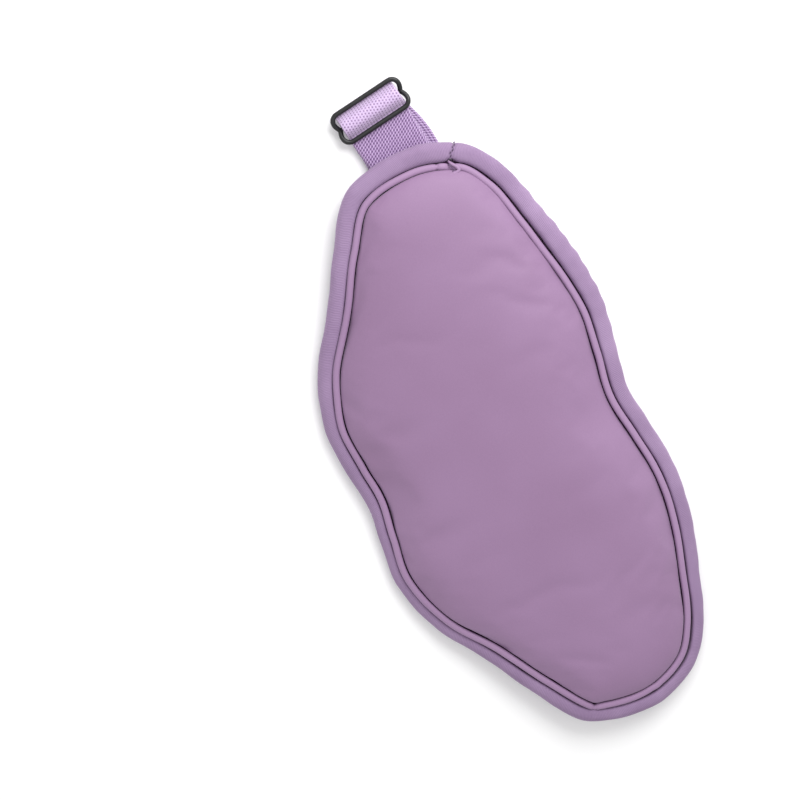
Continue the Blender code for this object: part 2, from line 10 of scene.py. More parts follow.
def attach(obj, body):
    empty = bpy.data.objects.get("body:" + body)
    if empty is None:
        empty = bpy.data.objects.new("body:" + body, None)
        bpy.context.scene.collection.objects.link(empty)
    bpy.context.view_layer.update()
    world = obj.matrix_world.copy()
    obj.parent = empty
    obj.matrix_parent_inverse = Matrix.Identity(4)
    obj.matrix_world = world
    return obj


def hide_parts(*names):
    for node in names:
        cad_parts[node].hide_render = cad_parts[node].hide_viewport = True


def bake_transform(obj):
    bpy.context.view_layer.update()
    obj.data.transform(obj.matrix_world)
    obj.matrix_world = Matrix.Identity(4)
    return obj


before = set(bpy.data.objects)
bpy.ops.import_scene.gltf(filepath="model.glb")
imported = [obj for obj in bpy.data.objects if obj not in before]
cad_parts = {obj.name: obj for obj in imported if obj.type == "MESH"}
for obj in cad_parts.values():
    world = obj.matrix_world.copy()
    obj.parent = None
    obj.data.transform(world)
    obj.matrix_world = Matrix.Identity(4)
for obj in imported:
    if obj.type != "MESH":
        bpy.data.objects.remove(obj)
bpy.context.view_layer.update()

# ---- the mask's cut -------------------------------------------------------------------------
# The pattern that every layer is cut to: two rounded lobes with a shallow waist on both long
# sides.  The layers lie on one arched middle surface, so that both long sides bend down.
MM = 0.001
HALF_LENGTH = 101 * MM
EDGE_POINTS = 720
# Half of the edge, from the forehead side round the tip to the cheek side: x as a share of
# HALF_LENGTH and y in millimetres.
OUTLINE = [
    (0.00, 43.6), (0.14, 45.6), (0.30, 47.6), (0.48, 45.8), (0.66, 41.0), (0.82, 35.6),
    (0.94, 26.1), (1.00, 8.0), (0.955, -13.5), (0.80, -25.5), (0.62, -36.0), (0.46, -46.6),
    (0.28, -52.2), (0.12, -51.4), (0.00, -50.0),
]
RIDGE_Y = -2.3 * MM
ARCH_TOP = 7.15 * MM
ARCH_FALL = 4.25 * MM
ARCH_HALF_WIDTH = 47.1 * MM


def smooth_through(points, per_span, closed):
    """Catmull-Rom points through the given ones."""
    points = np.asarray(points, float)
    count = len(points)
    out = []
    for i in range(count if closed else count - 1):
        if closed:
            p0, p1, p2, p3 = (points[(i + k) % count] for k in (-1, 0, 1, 2))
        else:
            p0, p1 = points[max(i - 1, 0)], points[i]
            p2, p3 = points[i + 1], points[min(i + 2, count - 1)]
        for t in np.arange(per_span) / per_span:
            out.append(0.5 * (2 * p1 + (p2 - p0) * t + (2 * p0 - 5 * p1 + 4 * p2 - p3) * t**2
                              + (3 * p1 - p0 - 3 * p2 + p3) * t**3))
    if not closed:
        out.append(points[-1])
    return np.array(out)


def evenly(points, count, closed):
    """The same curve with count points at even distances along it."""
    ring = np.vstack([points, points[:1]]) if closed else points
    run = np.r_[0, np.cumsum(np.linalg.norm(np.diff(ring, axis=0), axis=1))]
    at = np.linspace(0, run[-1], count + (1 if closed else 0))
    if closed:
        at = at[:-1]
    return np.stack([np.interp(at, run, ring[:, k]) for k in range(ring.shape[1])], axis=1)


def mask_edge():
    """Outer edge, anticlockwise from the middle of the cheek side, with its outward normals."""
    half = np.array([(x * HALF_LENGTH, y * MM) for x, y in OUTLINE])
    loop = np.vstack([half[::-1], half[1:-1] * (-1, 1)])
    edge = evenly(smooth_through(loop, 40, True), EDGE_POINTS, True)
    along = np.roll(edge, -3, axis=0) - np.roll(edge, 3, axis=0)
    along /= np.linalg.norm(along, axis=1)[:, None]
    return edge, np.stack([along[:, 1], -along[:, 0]], axis=1)


def middle(y):
    """Height of the arched middle surface."""
    return ARCH_TOP - ARCH_FALL * ((y - RIDGE_Y) / ARCH_HALF_WIDTH) ** 2


edge, outward = mask_edge()

# ---- seam lines -----------------------------------------------------------------------------
# How far in from the edge each seam is marked.  The roll of the edge is fullest past the join
# and thinnest where the cheek side curls it under, and piping and panel follow it.  Each row of
# a table is a place on the edge, x and y, and the size there, all in millimetres.
BLUR_REACH = 20
CORNER_NIP = 0.9 * MM
CORNER_NIP_SPREAD = 0.006
PIPING_HALF = 1.12 * MM
ROLL_WIDTHS = [
    (0, -50, 4.3), (30, -52, 3.5), (48, -46, 3.7), (70, -32, 4.5), (90, -22, 5.2), (99, 0, 5.0),
    (99, 18, 4.9), (88, 33, 5.0), (60, 43, 5.0), (30, 47.5, 5.2), (0, 43.5, 5.4), (-30, 47.5, 6.3),
    (-40, 46.7, 6.9), (-51, 44.5, 7.6), (-64, 41, 7.0), (-88, 30, 6.4), (-99, 12, 6.9), (-99, -3, 6.6),
    (-90, -20, 5.8), (-66, -34, 5.3), (-46, -46.5, 5.0), (-28, -52, 4.7),
]


def nearest(x, y):
    """Index of the edge point nearest to a place given in millimetres, such as a join or a pucker."""
    return int(np.argmin(np.hypot(edge[:, 0] - x * MM, edge[:, 1] - y * MM)))


def along_edge(values):
    """One smooth value for each edge point, from (x, y, value) given in millimetres at some places."""
    at = sorted((nearest(x, y), value) for x, y, value in values)
    where = np.array([at[-1][0] - EDGE_POINTS] + [i for i, _ in at] + [at[0][0] + EDGE_POINTS], float)
    what = np.array([at[-1][1]] + [v for _, v in at] + [at[0][1]], float)
    even = np.interp(np.arange(EDGE_POINTS), where, what)
    blur = np.exp(-np.linspace(-2, 2, 2 * BLUR_REACH + 1) ** 2)
    wide = np.concatenate([even[-BLUR_REACH:], even, even[:BLUR_REACH]])
    return np.convolve(wide, blur / blur.sum(), "valid")


# How far the roll stands off the piping, which leaves a dark gap in three places: past the join,
# at the far corner of the forehead side, and in the waist of the cheek side.
STAND_OFFS = [
    (0, -50, 0.55), (-14, -51.5, 0.3), (30, -52, 0.05), (60, -36, 0.15), (72, -31, 0.3), (86, -20, 0.1),
    (99, -3, 0.1), (98, 12, 0.45), (92, 28, 0.8), (80, 36, 0.45), (55, 44, 0.15), (20, 46, 0.1),
    (0, 43.5, 0.15), (-20, 46.5, 0.2), (-40, 46, 0.35), (-58, 43, 0.55), (-74, 37, 0.6), (-84, 28, 0.35),
    (-90, 20, 0.1), (-96, 14, 0.0), (-99, -3, 0.05), (-80, -25, 0.1), (-46, -46.5, 0.1),
]
# How far the two grooves beside the piping open; less than nothing where they are pressed shut.
OUTER_GROOVES = [
    (0, -50, -0.3), (30, -52, -0.4), (55, -43, -0.3), (66, -34, 0.15), (90, -20, 0.15), (99, 5, 0.12),
    (60, 43, 0.1), (0, 43.5, 0.1), (-60, 43, 0.15), (-99, 12, 0.1), (-99, -8, 0.05), (-80, -26, -0.1),
    (-46, -46.5, -0.25),
]
INNER_GROOVES = [
    (0, -50, 0.5), (10, -51.5, 0.3), (-10, -51.5, 0.3), (40, -50, 0.26), (96, -10, 0.2), (99, 5, 0.24),
    (60, 43, 0.22), (0, 43.5, 0.3), (-17, 46, 0.28), (-36, 46.5, -0.1), (-60, 43, -0.55), (-86, 28, -0.5),
    (-94, 16, -0.1), (-99, 8, 0.15), (-90, -20, 0.24), (-60, -38, 0.26),
]
roll_width = along_edge(ROLL_WIDTHS) * MM
stand_off = along_edge(STAND_OFFS) * MM


def away_from(centre):
    """How far each edge point is from one index of the edge, as a share of the whole edge."""
    steps = np.abs((np.arange(EDGE_POINTS) - centre + EDGE_POINTS / 2) % EDGE_POINTS - EDGE_POINTS / 2)
    return steps / EDGE_POINTS


def cusp(centre, width):
    """Sharp-topped share, 1 at one index of the edge, as where cloth is turned at a corner."""
    return np.exp(-away_from(centre) / width)


cheek_corner = nearest(96, -11)
piping_n = -roll_width - along_edge(OUTER_GROOVES) * MM - PIPING_HALF
piping_n = piping_n + CORNER_NIP * cusp(cheek_corner, CORNER_NIP_SPREAD)
panel_gap = along_edge(INNER_GROOVES) * MM

# ---- front pad ------------------------------------------------------------------------------
# Stretch satin over wadding and foam, with a black lining under them.  It is sewn down round
# the rim, inside the piping, so the filling crowns it and it falls steeply at the seam.
PAD_RISE = 8.3 * MM
PAD_WALL = 2.5 * MM
PAD_WALL_REACH = 0.13 * MM
PAD_FLOOR = 0.5 * MM
PAD_UNDER = 0.4 * MM
PAD_CELL = 2.6 * MM
PAD_SHOULDER = 10 * MM
PAD_END_DROP = 0.10
PAD_PRESSURE = 4.0
PAD_STRETCH_CAP = 0.8 * MM
PAD_SLACK = 0.006
RIM_STEP = 3
RIM_DEPTHS = [0.0, 0.06 * MM, 0.18 * MM, 0.45 * MM, 1.0 * MM, 2.0 * MM, 3.6 * MM]
TRIANGLE_ROW = 0.866
SEAM_HOLD = 0.45 * MM
PLEAT_X, PLEAT_Y = 0.45, 0.89
PLEAT_WIDTH = 1.3
# Each pleat is x, y, length and depth, and each dimple x, y, radius and depth, in millimetres.
PLEATS = [(61.2, -29.2, 2.6, 2.3), (57.5, -30.5, 2.4, 0.35)]
DIMPLES = [(3, 31, 9, 0.45), (-12, 33, 8, 0.3), (-60, 0, 26, 0.35), (45, -8, 24, 0.25)]


def mesh_object(name, verts, faces, uvs=None):
    """A mesh object; uvs is one (u, v) for each face corner, in metres along and across the cloth."""
    mesh = bpy.data.meshes.new(name)
    mesh.from_pydata([tuple(v) for v in verts], [], faces)
    if uvs is not None:
        layer = mesh.uv_layers.new(name="cloth")
        layer.data.foreach_set("uv", np.asarray(uvs, float).ravel())
    made = bpy.data.objects.new(name, mesh)
    bpy.context.scene.collection.objects.link(made)
    for face in mesh.polygons:
        face.use_smooth = True
    return made


def dome_share(depth, shoulder):
    """How far the filling has lifted the cloth, depth in from the seam."""
    steep = 1 - np.exp(-depth / (0.25 * shoulder))
    slow = 1 - np.exp(-depth / (1.2 * shoulder))
    return 0.35 * steep + 0.65 * slow


def pad_mesh(name, seam_n, cell, height_of, floor_h):
    """A closed pad: a crowned face over the whole seam line, and a flat face under it."""
    rim = (edge + outward * seam_n[:, None])[::RIM_STEP]
    rings = [(edge + outward * (seam_n - depth)[:, None])[::RIM_STEP] for depth in RIM_DEPTHS]
    low, high = rim.min(0), rim.max(0)
    inner = rings[-1]
    xs = np.arange(low[0], high[0], cell)
    ys = np.arange(low[1], high[1], cell * TRIANGLE_ROW)
    grid = np.array([(x + (cell / 2 if j % 2 else 0), y) for j, y in enumerate(ys) for x in xs])
    gap = np.sqrt(((grid[:, None, :] - inner[None, :, :]) ** 2).sum(-1)).min(1)
    following = np.roll(inner, -1, axis=0)
    crossing = (inner[None, :, 1] > grid[:, None, 1]) != (following[None, :, 1] > grid[:, None, 1])
    slope = (following[:, 0] - inner[:, 0]) / (following[:, 1] - inner[:, 1] + 1e-12)
    at_x = inner[None, :, 0] + (grid[:, None, 1] - inner[None, :, 1]) * slope[None, :]
    inside = (crossing & (grid[:, None, 0] < at_x)).sum(1) % 2 == 1
    grid = grid[inside & (gap > 0.6 * cell)]
    ring_size = len(inner)
    flat = [Vector(p) for p in np.vstack([inner, grid])]
    border = [(i, (i + 1) % ring_size) for i in range(ring_size)]
    points, _, triangles, *_ = delaunay_2d_cdt(flat, border, [], 1, 1e-7)
    points = np.array([tuple(p) for p in points])
    depths = [np.sqrt(((point - rim) ** 2).sum(-1)).min() for point in points]
    verts, faces = [], []
    for ring, depth in zip(rings[:-1], RIM_DEPTHS[:-1]):
        verts += [(x, y, middle(y) + height_of(x, y, depth)) for x, y in ring]
    offset = ring_size * (len(rings) - 1)
    verts += [(x, y, middle(y) + height_of(x, y, depth)) for (x, y), depth in zip(points, depths)]
    for k in range(len(rings) - 1):
        here, further = k * ring_size, (k + 1) * ring_size
        for i in range(ring_size):
            j = (i + 1) % ring_size
            faces.append((here + i, here + j, further + j, further + i))
    faces += [tuple(offset + i for i in triangle) for triangle in triangles]
    top_count = len(verts)
    verts += [(v[0], v[1], middle(v[1]) + floor_h) for v in verts[ring_size:]]
    shift = top_count - ring_size
    faces += [tuple(i + shift if i >= ring_size else i for i in face[::-1]) for face in faces]
    made = mesh_object(name, verts, faces)
    pinned = made.vertex_groups.new(name="sewn")
    pinned.add(list(range(2 * ring_size)) + list(range(top_count, len(verts))), 1.0, "REPLACE")
    return made


def inflate(pad, pressure, cap, slack):
    """Lets the filling press the sewn cloth out, as air would, and keeps every point near its cut."""
    start = np.array([v.co for v in pad.data.vertices])
    cloth = pad.modifiers.new("filling", "CLOTH")
    settings = cloth.settings
    settings.quality = 6
    settings.mass = 0.2
    settings.tension_stiffness = 25
    settings.compression_stiffness = 12
    settings.shear_stiffness = 6
    settings.bending_stiffness = 1.2
    settings.use_pressure = True
    settings.uniform_pressure_force = pressure
    settings.shrink_min = -slack
    settings.vertex_group_mass = "sewn"
    settings.effector_weights.gravity = 0
    scene = bpy.context.scene
    for moment in range(1, 21):
        scene.frame_set(moment)
    shown = pad.evaluated_get(bpy.context.evaluated_depsgraph_get())
    moved = np.array([v.co for v in shown.data.vertices])
    pad.modifiers.remove(cloth)
    scene.frame_set(1)
    shift = moved - start
    size = np.linalg.norm(shift, axis=1)
    shift *= (cap * np.tanh(size / cap) / np.maximum(size, 1e-9))[:, None]
    for vertex, place in zip(pad.data.vertices, start + shift):
        vertex.co = place


def front_height(x, y, depth):
    """Steep wall at the seam, then the dome; two pleats on the cheek side and faint dimples."""
    crown = 1 - PAD_END_DROP * (x / HALF_LENGTH) ** 2
    wall = PAD_WALL * (1 - np.exp(-depth / PAD_WALL_REACH))
    dome = (PAD_RISE - PAD_FLOOR - PAD_WALL) * dome_share(depth, PAD_SHOULDER) * crown
    pulled_in = 0.0
    for px, py, length, size in PLEATS:
        away = (x / MM - px) * PLEAT_X + (y / MM - py) * PLEAT_Y
        beside = (x / MM - px) * PLEAT_Y - (y / MM - py) * PLEAT_X
        pulled_in = pulled_in - size * MM * np.exp(-((away / length) ** 2) - (beside / PLEAT_WIDTH) ** 2)
    for px, py, wide, size in DIMPLES:
        gap = (x / MM - px) ** 2 + (y / MM - py) ** 2
        pulled_in = pulled_in - size * MM * np.exp(-gap / wide**2)
    return PAD_FLOOR + wall + dome + pulled_in * np.minimum(depth / SEAM_HOLD, 1)


def shader_graph(name):
    """A new material with its node tree, its Principled shader, and a helper that adds nodes."""
    made = bpy.data.materials.new(name)
    made.use_nodes = True
    tree = made.node_tree
    shader = tree.nodes["Principled BSDF"]

    def add(kind, **settings):
        node = tree.nodes.new(kind)
        for setting, value in settings.items():
            setattr(node, setting, value)
        return node

    return made, tree, shader, add


def math_node(tree, operation, first, second=None, third=None):
    """A Math node on numbers or sockets; gives its output."""
    node = tree.nodes.new("ShaderNodeMath")
    node.operation = operation
    for slot, value in enumerate((first, second, third)):
        if value is None:
            continue
        if isinstance(value, (int, float)):
            node.inputs[slot].default_value = value
        else:
            tree.links.new(value, node.inputs[slot])
    return node.outputs[0]


def noise_node(tree, coordinates, scale, detail):
    """Noise from 0 to 1, with scale features to the metre."""
    node = tree.nodes.new("ShaderNodeTexNoise")
    node.inputs["Scale"].default_value = scale
    node.inputs["Detail"].default_value = detail
    node.inputs["Roughness"].default_value = 0.55
    tree.links.new(coordinates, node.inputs["Vector"])
    return node.outputs["Fac"]


def colour_ramp(tree, factor, stops):
    """Colour by a factor, through (position, colour) stops."""
    node = tree.nodes.new("ShaderNodeValToRGB")
    ramp = node.color_ramp
    while len(ramp.elements) < len(stops):
        ramp.elements.new(0.5)
    for element, (at, colour) in zip(ramp.elements, stops):
        element.position = at
        element.color = (*colour, 1)
    tree.links.new(factor, node.inputs["Fac"])
    return node.outputs["Color"]


def bump_node(tree, height, distance, strength, below=None):
    """A surface raised by a height, on top of the coarser bump below it."""
    node = tree.nodes.new("ShaderNodeBump")
    node.inputs["Distance"].default_value = distance
    node.inputs["Strength"].default_value = strength
    tree.links.new(height, node.inputs["Height"])
    if below is not None:
        tree.links.new(below, node.inputs["Normal"])
    return node.outputs["Normal"]


def multiplied(tree, add, colour, shade, factor):
    """The colour, darkened by factor of the shade."""
    tint = add("ShaderNodeMix", data_type="RGBA", blend_type="MULTIPLY")
    tint.inputs["Factor"].default_value = factor
    tree.links.new(colour, tint.inputs["A"])
    tree.links.new(shade, tint.inputs["B"])
    return tint.outputs["Result"]


def satin(name, deep, light, pitch):
    """Stretch satin: a broad soft sheen, faint mottling of its nap, and a very fine close knit."""
    weave_scale = 2 * math.pi / pitch
    made, tree, shader, add = shader_graph(name)
    place = add("ShaderNodeTexCoord").outputs["Object"]
    broad = noise_node(tree, place, 22, 2.0)
    fine = noise_node(tree, place, 2600, 2.0)
    colour = colour_ramp(tree, broad, [(0.3, deep), (0.7, light)])
    specks = colour_ramp(tree, fine, [(0.25, (0.82, 0.80, 0.84)), (0.75, (1, 1, 1))])
    tree.links.new(multiplied(tree, add, colour, specks, 0.35), shader.inputs["Base Color"])
    split = add("ShaderNodeSeparateXYZ")
    tree.links.new(place, split.inputs["Vector"])
    rows = math_node(tree, "SINE", math_node(tree, "MULTIPLY", split.outputs["X"], weave_scale))
    columns = math_node(tree, "SINE", math_node(tree, "MULTIPLY", split.outputs["Y"], weave_scale * 0.8))
    knit = math_node(tree, "ADD", math_node(tree, "MULTIPLY", rows, columns), fine)
    normal = bump_node(tree, noise_node(tree, place, 90, 3.0), 0.12 * MM, 0.5)
    normal = bump_node(tree, knit, 0.02 * MM, 0.6, normal)
    tree.links.new(normal, shader.inputs["Normal"])
    roughness = math_node(tree, "MULTIPLY_ADD", broad, 0.14, 0.50)
    tree.links.new(roughness, shader.inputs["Roughness"])
    shader.inputs["Specular IOR Level"].default_value = 0.35
    shader.inputs["Sheen Weight"].default_value = 0.35
    shader.inputs["Sheen Roughness"].default_value = 0.45
    shader.inputs["Sheen Tint"].default_value = (0.86, 0.76, 0.92, 1)
    return made


lilac_satin = satin("lilac_satin", (0.243, 0.143, 0.252), (0.275, 0.167, 0.290), 0.42 * MM)
front_seam_n = piping_n - (PIPING_HALF + panel_gap)
front_pad = pad_mesh("front_pad", front_seam_n, PAD_CELL, front_height, PAD_FLOOR - PAD_UNDER)
inflate(front_pad, PAD_PRESSURE, PAD_STRETCH_CAP, PAD_SLACK)
subdivide = front_pad.modifiers.new("smooth", "SUBSURF")
subdivide.levels = subdivide.render_levels = 1
front_pad.data.materials.append(lilac_satin)
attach(front_pad, "mask")
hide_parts("front_cover", "wadding", "foam_core", "blackout_lining")

# ---- back pad -------------------------------------------------------------------------------
# The side that lies on the eyes: the same satin, nearly flat, with no piping.  Its seam follows
# the binding's inner edge and is tucked a little way into the roll.
BACK_IN_ROLL = 0.9 * MM
BACK_LIP = 0.5 * MM
BACK_DROP = 2.7 * MM
BACK_ROOF = -0.2 * MM
BACK_CELL = 3.2 * MM
BACK_SHOULDER = 9 * MM
BACK_PRESSURE = 2.0
BACK_STRETCH_CAP = 0.5 * MM
BACK_SLACK = 0.012


def back_height(x, y, depth):
    """A short lip at the seam, then a shallow belly that hangs under the filling."""
    return BACK_ROOF - BACK_LIP - (BACK_DROP - BACK_LIP) * dome_share(depth, BACK_SHOULDER)


def faces_out(piece):
    """Turns every face of a closed piece outwards."""
    bm = bmesh.new()
    bm.from_mesh(piece.data)
    bmesh.ops.recalc_face_normals(bm, faces=bm.faces)
    bm.to_mesh(piece.data)
    bm.free()


back_seam_n = -roll_width + stand_off + BACK_IN_ROLL
back_pad = pad_mesh("back_pad", back_seam_n, BACK_CELL, back_height, BACK_ROOF)
faces_out(back_pad)
inflate(back_pad, BACK_PRESSURE, BACK_STRETCH_CAP, BACK_SLACK)
subdivide = back_pad.modifiers.new("smooth", "SUBSURF")
subdivide.levels = subdivide.render_levels = 1
back_pad.data.materials.append(lilac_satin)
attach(back_pad, "mask")
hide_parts("back_cover")

# ---- rolled binding -------------------------------------------------------------------------
# A bias strip of finely ribbed knit, rolled over a soft cord and sewn round the whole edge.  Its
# ends meet on the forehead side near the slider, and past the join its inner edge lifts a little.
BINDING_N = -roll_width / 2
BINDING_HALF_WIDTH = roll_width / 2
BINDING_HALF_HEIGHT = 0.5 * roll_width + 0.1 * MM
BINDING_SIDES = 28
BINDING_SQUARE = (0.55, 0.9)
RIB_PITCH = 0.55 * MM
TABLE_CLEAR = 0.05 * MM
RIPPLE_REACH = 30
RIPPLE_UNEVEN = 0.11 * MM
RIPPLE_WAVE = 0.06 * MM
GATHER_DEPTH = 0.14 * MM
GATHERS = [
    (-88, 30, 0), (-70, 39, 1), (-30, 47, 0.8), (0, 43.5, 0.2), (40, 48, 0.25), (90, 30, 0.1), (0, -50, 0),
]
WAVES_ROUND, GATHERS_ROUND = 37, 71
CREASE_DEPTH, CREASE_DROP = 0.7 * MM, 0.65 * MM
TUCK_IN, TUCK_DROP = 0.8 * MM, 0.5 * MM
PINCH_IN = 0.4 * MM
OVERLAP_STEP = 0.35 * MM
CREASE_SPREAD, TUCK_SPREAD, PINCH_SPREAD, OVERLAP_SPREAD = 0.0012, 0.0042, 0.0022, 0.009
join = nearest(-90.7, 20.0)


def squared(share, power):
    """A share of a round section, pushed out towards a square one as power falls below 1."""
    return math.copysign(abs(share) ** power, share)


def loop_tube(name, centre_n, centre_h, half_width, half_height, sides, square, lift):
    """A closed roll along the edge, pressed flat where it meets the table; each size is a number or
    one value for each edge point.  square gives how flat-sided its inner and outer halves are: 1 is
    round and less is squarer.  lift moves the points of one side of it."""
    count = len(edge)
    full = np.ones(count)
    centre_n, centre_h = centre_n * full, centre_h * full
    half_width, half_height = half_width * full, half_height * full
    verts, faces, uvs = [], [], []
    run = np.linalg.norm(edge - np.roll(edge, -1, axis=0), axis=1).sum()
    for k in range(sides):
        angle = 2 * math.pi * (k + 0.5) / sides
        power = square[0] if math.cos(angle) < 0 else square[1]
        n = centre_n + half_width * squared(math.cos(angle), power)
        h = centre_h + half_height * squared(math.sin(angle), power)
        n, h = lift(n, h, angle)
        flat = edge + outward * n[:, None]
        verts.append(np.column_stack([flat, np.maximum(middle(flat[:, 1]) + h, TABLE_CLEAR)]))
    girth = 2 * math.pi * float(half_width.mean())
    for k in range(sides):
        m = (k + 1) % sides
        v0, v1 = k / sides * girth, (k + 1) / sides * girth
        for i in range(count):
            j = (i + 1) % count
            u0, u1 = i / count * run, (i + 1) / count * run
            faces.append((k * count + i, k * count + j, m * count + j, m * count + i))
            uvs += [(u0, v0), (u1, v0), (u1, v1), (u0, v1)]
    return mesh_object(name, np.vstack(verts), faces, uvs)


def near(centre, width):
    """Bell-shaped share, 1 at one index of the edge and fading over width, a share of the edge."""
    return np.exp(-((away_from(centre) / width) ** 2))


turn = 2 * math.pi * np.arange(EDGE_POINTS) / EDGE_POINTS
rough = np.random.default_rng(7).normal(size=EDGE_POINTS)
rough = np.concatenate([rough[-RIPPLE_REACH:], rough, rough[:RIPPLE_REACH]])
ripple = np.convolve(rough, np.hanning(2 * RIPPLE_REACH + 1), "valid")
ripple = RIPPLE_UNEVEN * ripple / ripple.std() + RIPPLE_WAVE * np.sin(WAVES_ROUND * turn + 2.1)
gathers = np.clip(along_edge(GATHERS), 0, 1)
ripple = ripple + GATHER_DEPTH * gathers * np.sin(GATHERS_ROUND * turn + 2 * np.sin(5 * turn))
pinch = near(join, PINCH_SPREAD)
tuck = near(join, TUCK_SPREAD)


def roll_lift(n, h, angle):
    """Small kinks of the outer side, the lifted inner lip past the join, and the pinch of the join."""
    outer = max(0.0, math.cos(angle))
    inner = max(0.0, -math.cos(angle))
    over = max(0.0, math.sin(angle))
    n = n + ripple * (0.25 + outer) + inner * stand_off
    crease = near(join - 1.4 * math.cos(angle) + 0.5 * math.sin(9 * angle), CREASE_SPREAD)
    n = n - outer * CREASE_DEPTH * crease + inner * (TUCK_IN * tuck + PINCH_IN * pinch)
    h = h + 0.4 * ripple * over + 0.25 * stand_off * over * (1 - outer)
    step = OVERLAP_STEP * over * near(join + 9, OVERLAP_SPREAD)
    return n, h + step - over * (CREASE_DROP * crease + TUCK_DROP * tuck * inner)


def ribbed_knit(name, deep, light, pitch):
    """Fine rib knit: close slanted ridges with painted shade in the furrows, a soft nap, and slightly
    uneven dye.
    """
    made, tree, shader, add = shader_graph(name)
    uv = add("ShaderNodeUVMap", uv_map="cloth").outputs["UV"]
    place = add("ShaderNodeTexCoord").outputs["Object"]
    split = add("ShaderNodeSeparateXYZ")
    tree.links.new(uv, split.inputs["Vector"])
    wander = math_node(tree, "MULTIPLY", noise_node(tree, place, 160, 2.0), 0.9)
    slant = math_node(tree, "MULTIPLY_ADD", split.outputs["Y"], 0.35, split.outputs["X"])
    phase = math_node(tree, "ADD", math_node(tree, "MULTIPLY", slant, 2 * math.pi / pitch), wander)
    ribs = math_node(tree, "MULTIPLY_ADD", math_node(tree, "SINE", phase), 0.5, 0.5)
    broad = noise_node(tree, place, 60, 3.0)
    colour = colour_ramp(tree, broad, [(0.3, deep), (0.72, light)])
    # Painted shade: the colour is darkened in the furrows between the ribs.
    furrow_shade = colour_ramp(tree, ribs, [(0.0, (0.72, 0.68, 0.76)), (0.6, (1, 1, 1))])
    tree.links.new(multiplied(tree, add, colour, furrow_shade, 0.8), shader.inputs["Base Color"])
    normal = bump_node(tree, broad, 0.25 * MM, 0.5)
    normal = bump_node(tree, ribs, 0.10 * MM, 0.8, normal)
    normal = bump_node(tree, noise_node(tree, place, 3200, 2.0), 0.02 * MM, 0.5, normal)
    tree.links.new(normal, shader.inputs["Normal"])
    shader.inputs["Roughness"].default_value = 0.72
    shader.inputs["Specular IOR Level"].default_value = 0.25
    shader.inputs["Sheen Weight"].default_value = 0.25
    shader.inputs["Sheen Roughness"].default_value = 0.4
    shader.inputs["Sheen Tint"].default_value = (0.86, 0.74, 0.92, 1)
    return made


knit_tape = ribbed_knit("lilac_rib_knit", (0.262, 0.174, 0.295), (0.33, 0.228, 0.368), RIB_PITCH)
binding = loop_tube("rolled_binding", BINDING_N, 0.0, BINDING_HALF_WIDTH, BINDING_HALF_HEIGHT,
                    BINDING_SIDES, BINDING_SQUARE, roll_lift)
binding.data.materials.append(knit_tape)
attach(binding, "mask")
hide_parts("edge_binding", "binding_cord")

# ---- piping ---------------------------------------------------------------------------------
# A thin cord in a sleeve of the panel's satin, sewn between the panel and the binding.  It wavers
# slightly, and is nipped where it starts and ends and at the corner of the cheek side.  Its seam
# allowance lies deep in the two grooves; the faces of its underside get a near-black purple,
# painted shade that shows there as a thin dark edge.
PIPING_H = 2.0 * MM
PIPING_RADIUS = 1.2 * MM
PIPING_SIDES = 20
PIPING_SQUARE = (0.8, 0.8)
PIPING_PITCH = 0.4 * MM
HEM_SPREAD = 0.42 * MM
HEM_BELOW = -0.2
PAINTED_SHADE_BELOW = -0.15
nip = near(cheek_corner, 0.0022)
second_nip = near(nearest(99.5, 14), 0.003)
small_mark = near(nearest(-97.5, 17), 0.0016)
piping_ends = near(join, 0.0032)
waver = (0.06 * np.sin(17 * turn + 1.3) + 0.04 * np.sin(29 * turn)) * MM


def piping_lift(n, h, angle):
    """Its seam allowance spreads under it and closes both grooves, well below their tops."""
    return n + HEM_SPREAD * math.copysign(1, math.cos(angle)) * (math.sin(angle) < HEM_BELOW), h


piping_out = piping_n + waver + 0.2 * MM * second_nip - 0.35 * MM * piping_ends
piping_up = PIPING_H - 0.35 * MM * nip - 0.7 * MM * piping_ends - 0.55 * MM * small_mark
piping_wide = PIPING_HALF * (1 - 0.25 * nip - 0.10 * piping_ends - 0.2 * small_mark)
piping_high = PIPING_RADIUS * (1 - 0.25 * nip - 0.2 * piping_ends)
piping = loop_tube("piping", piping_out, piping_up, piping_wide, piping_high,
                   PIPING_SIDES, PIPING_SQUARE, piping_lift)
piping_satin = satin("piping_satin", (0.285, 0.174, 0.303), (0.325, 0.205, 0.345), PIPING_PITCH)
# Painted shade: a near-black purple copy of the satin for the piping's underside in the grooves.
piping_painted_shade = satin("piping_painted_shade", (0.040, 0.006, 0.045), (0.055, 0.010, 0.060), PIPING_PITCH)
painted_shade_bsdf = piping_painted_shade.node_tree.nodes["Principled BSDF"]
painted_shade_bsdf.inputs["Sheen Weight"].default_value = 0.0
painted_shade_bsdf.inputs["Specular IOR Level"].default_value = 0.1
piping.data.materials.append(piping_satin)
piping.data.materials.append(piping_painted_shade)
# Faces low on the tube's section get the painted shade material.
for i, face in enumerate(piping.data.polygons):
    angle = 2 * math.pi * (i // EDGE_POINTS + 1) / PIPING_SIDES
    face.material_index = int(math.sin(angle) < PAINTED_SHADE_BELOW)
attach(piping, "mask")
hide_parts("piping_sleeve", "piping_cord")

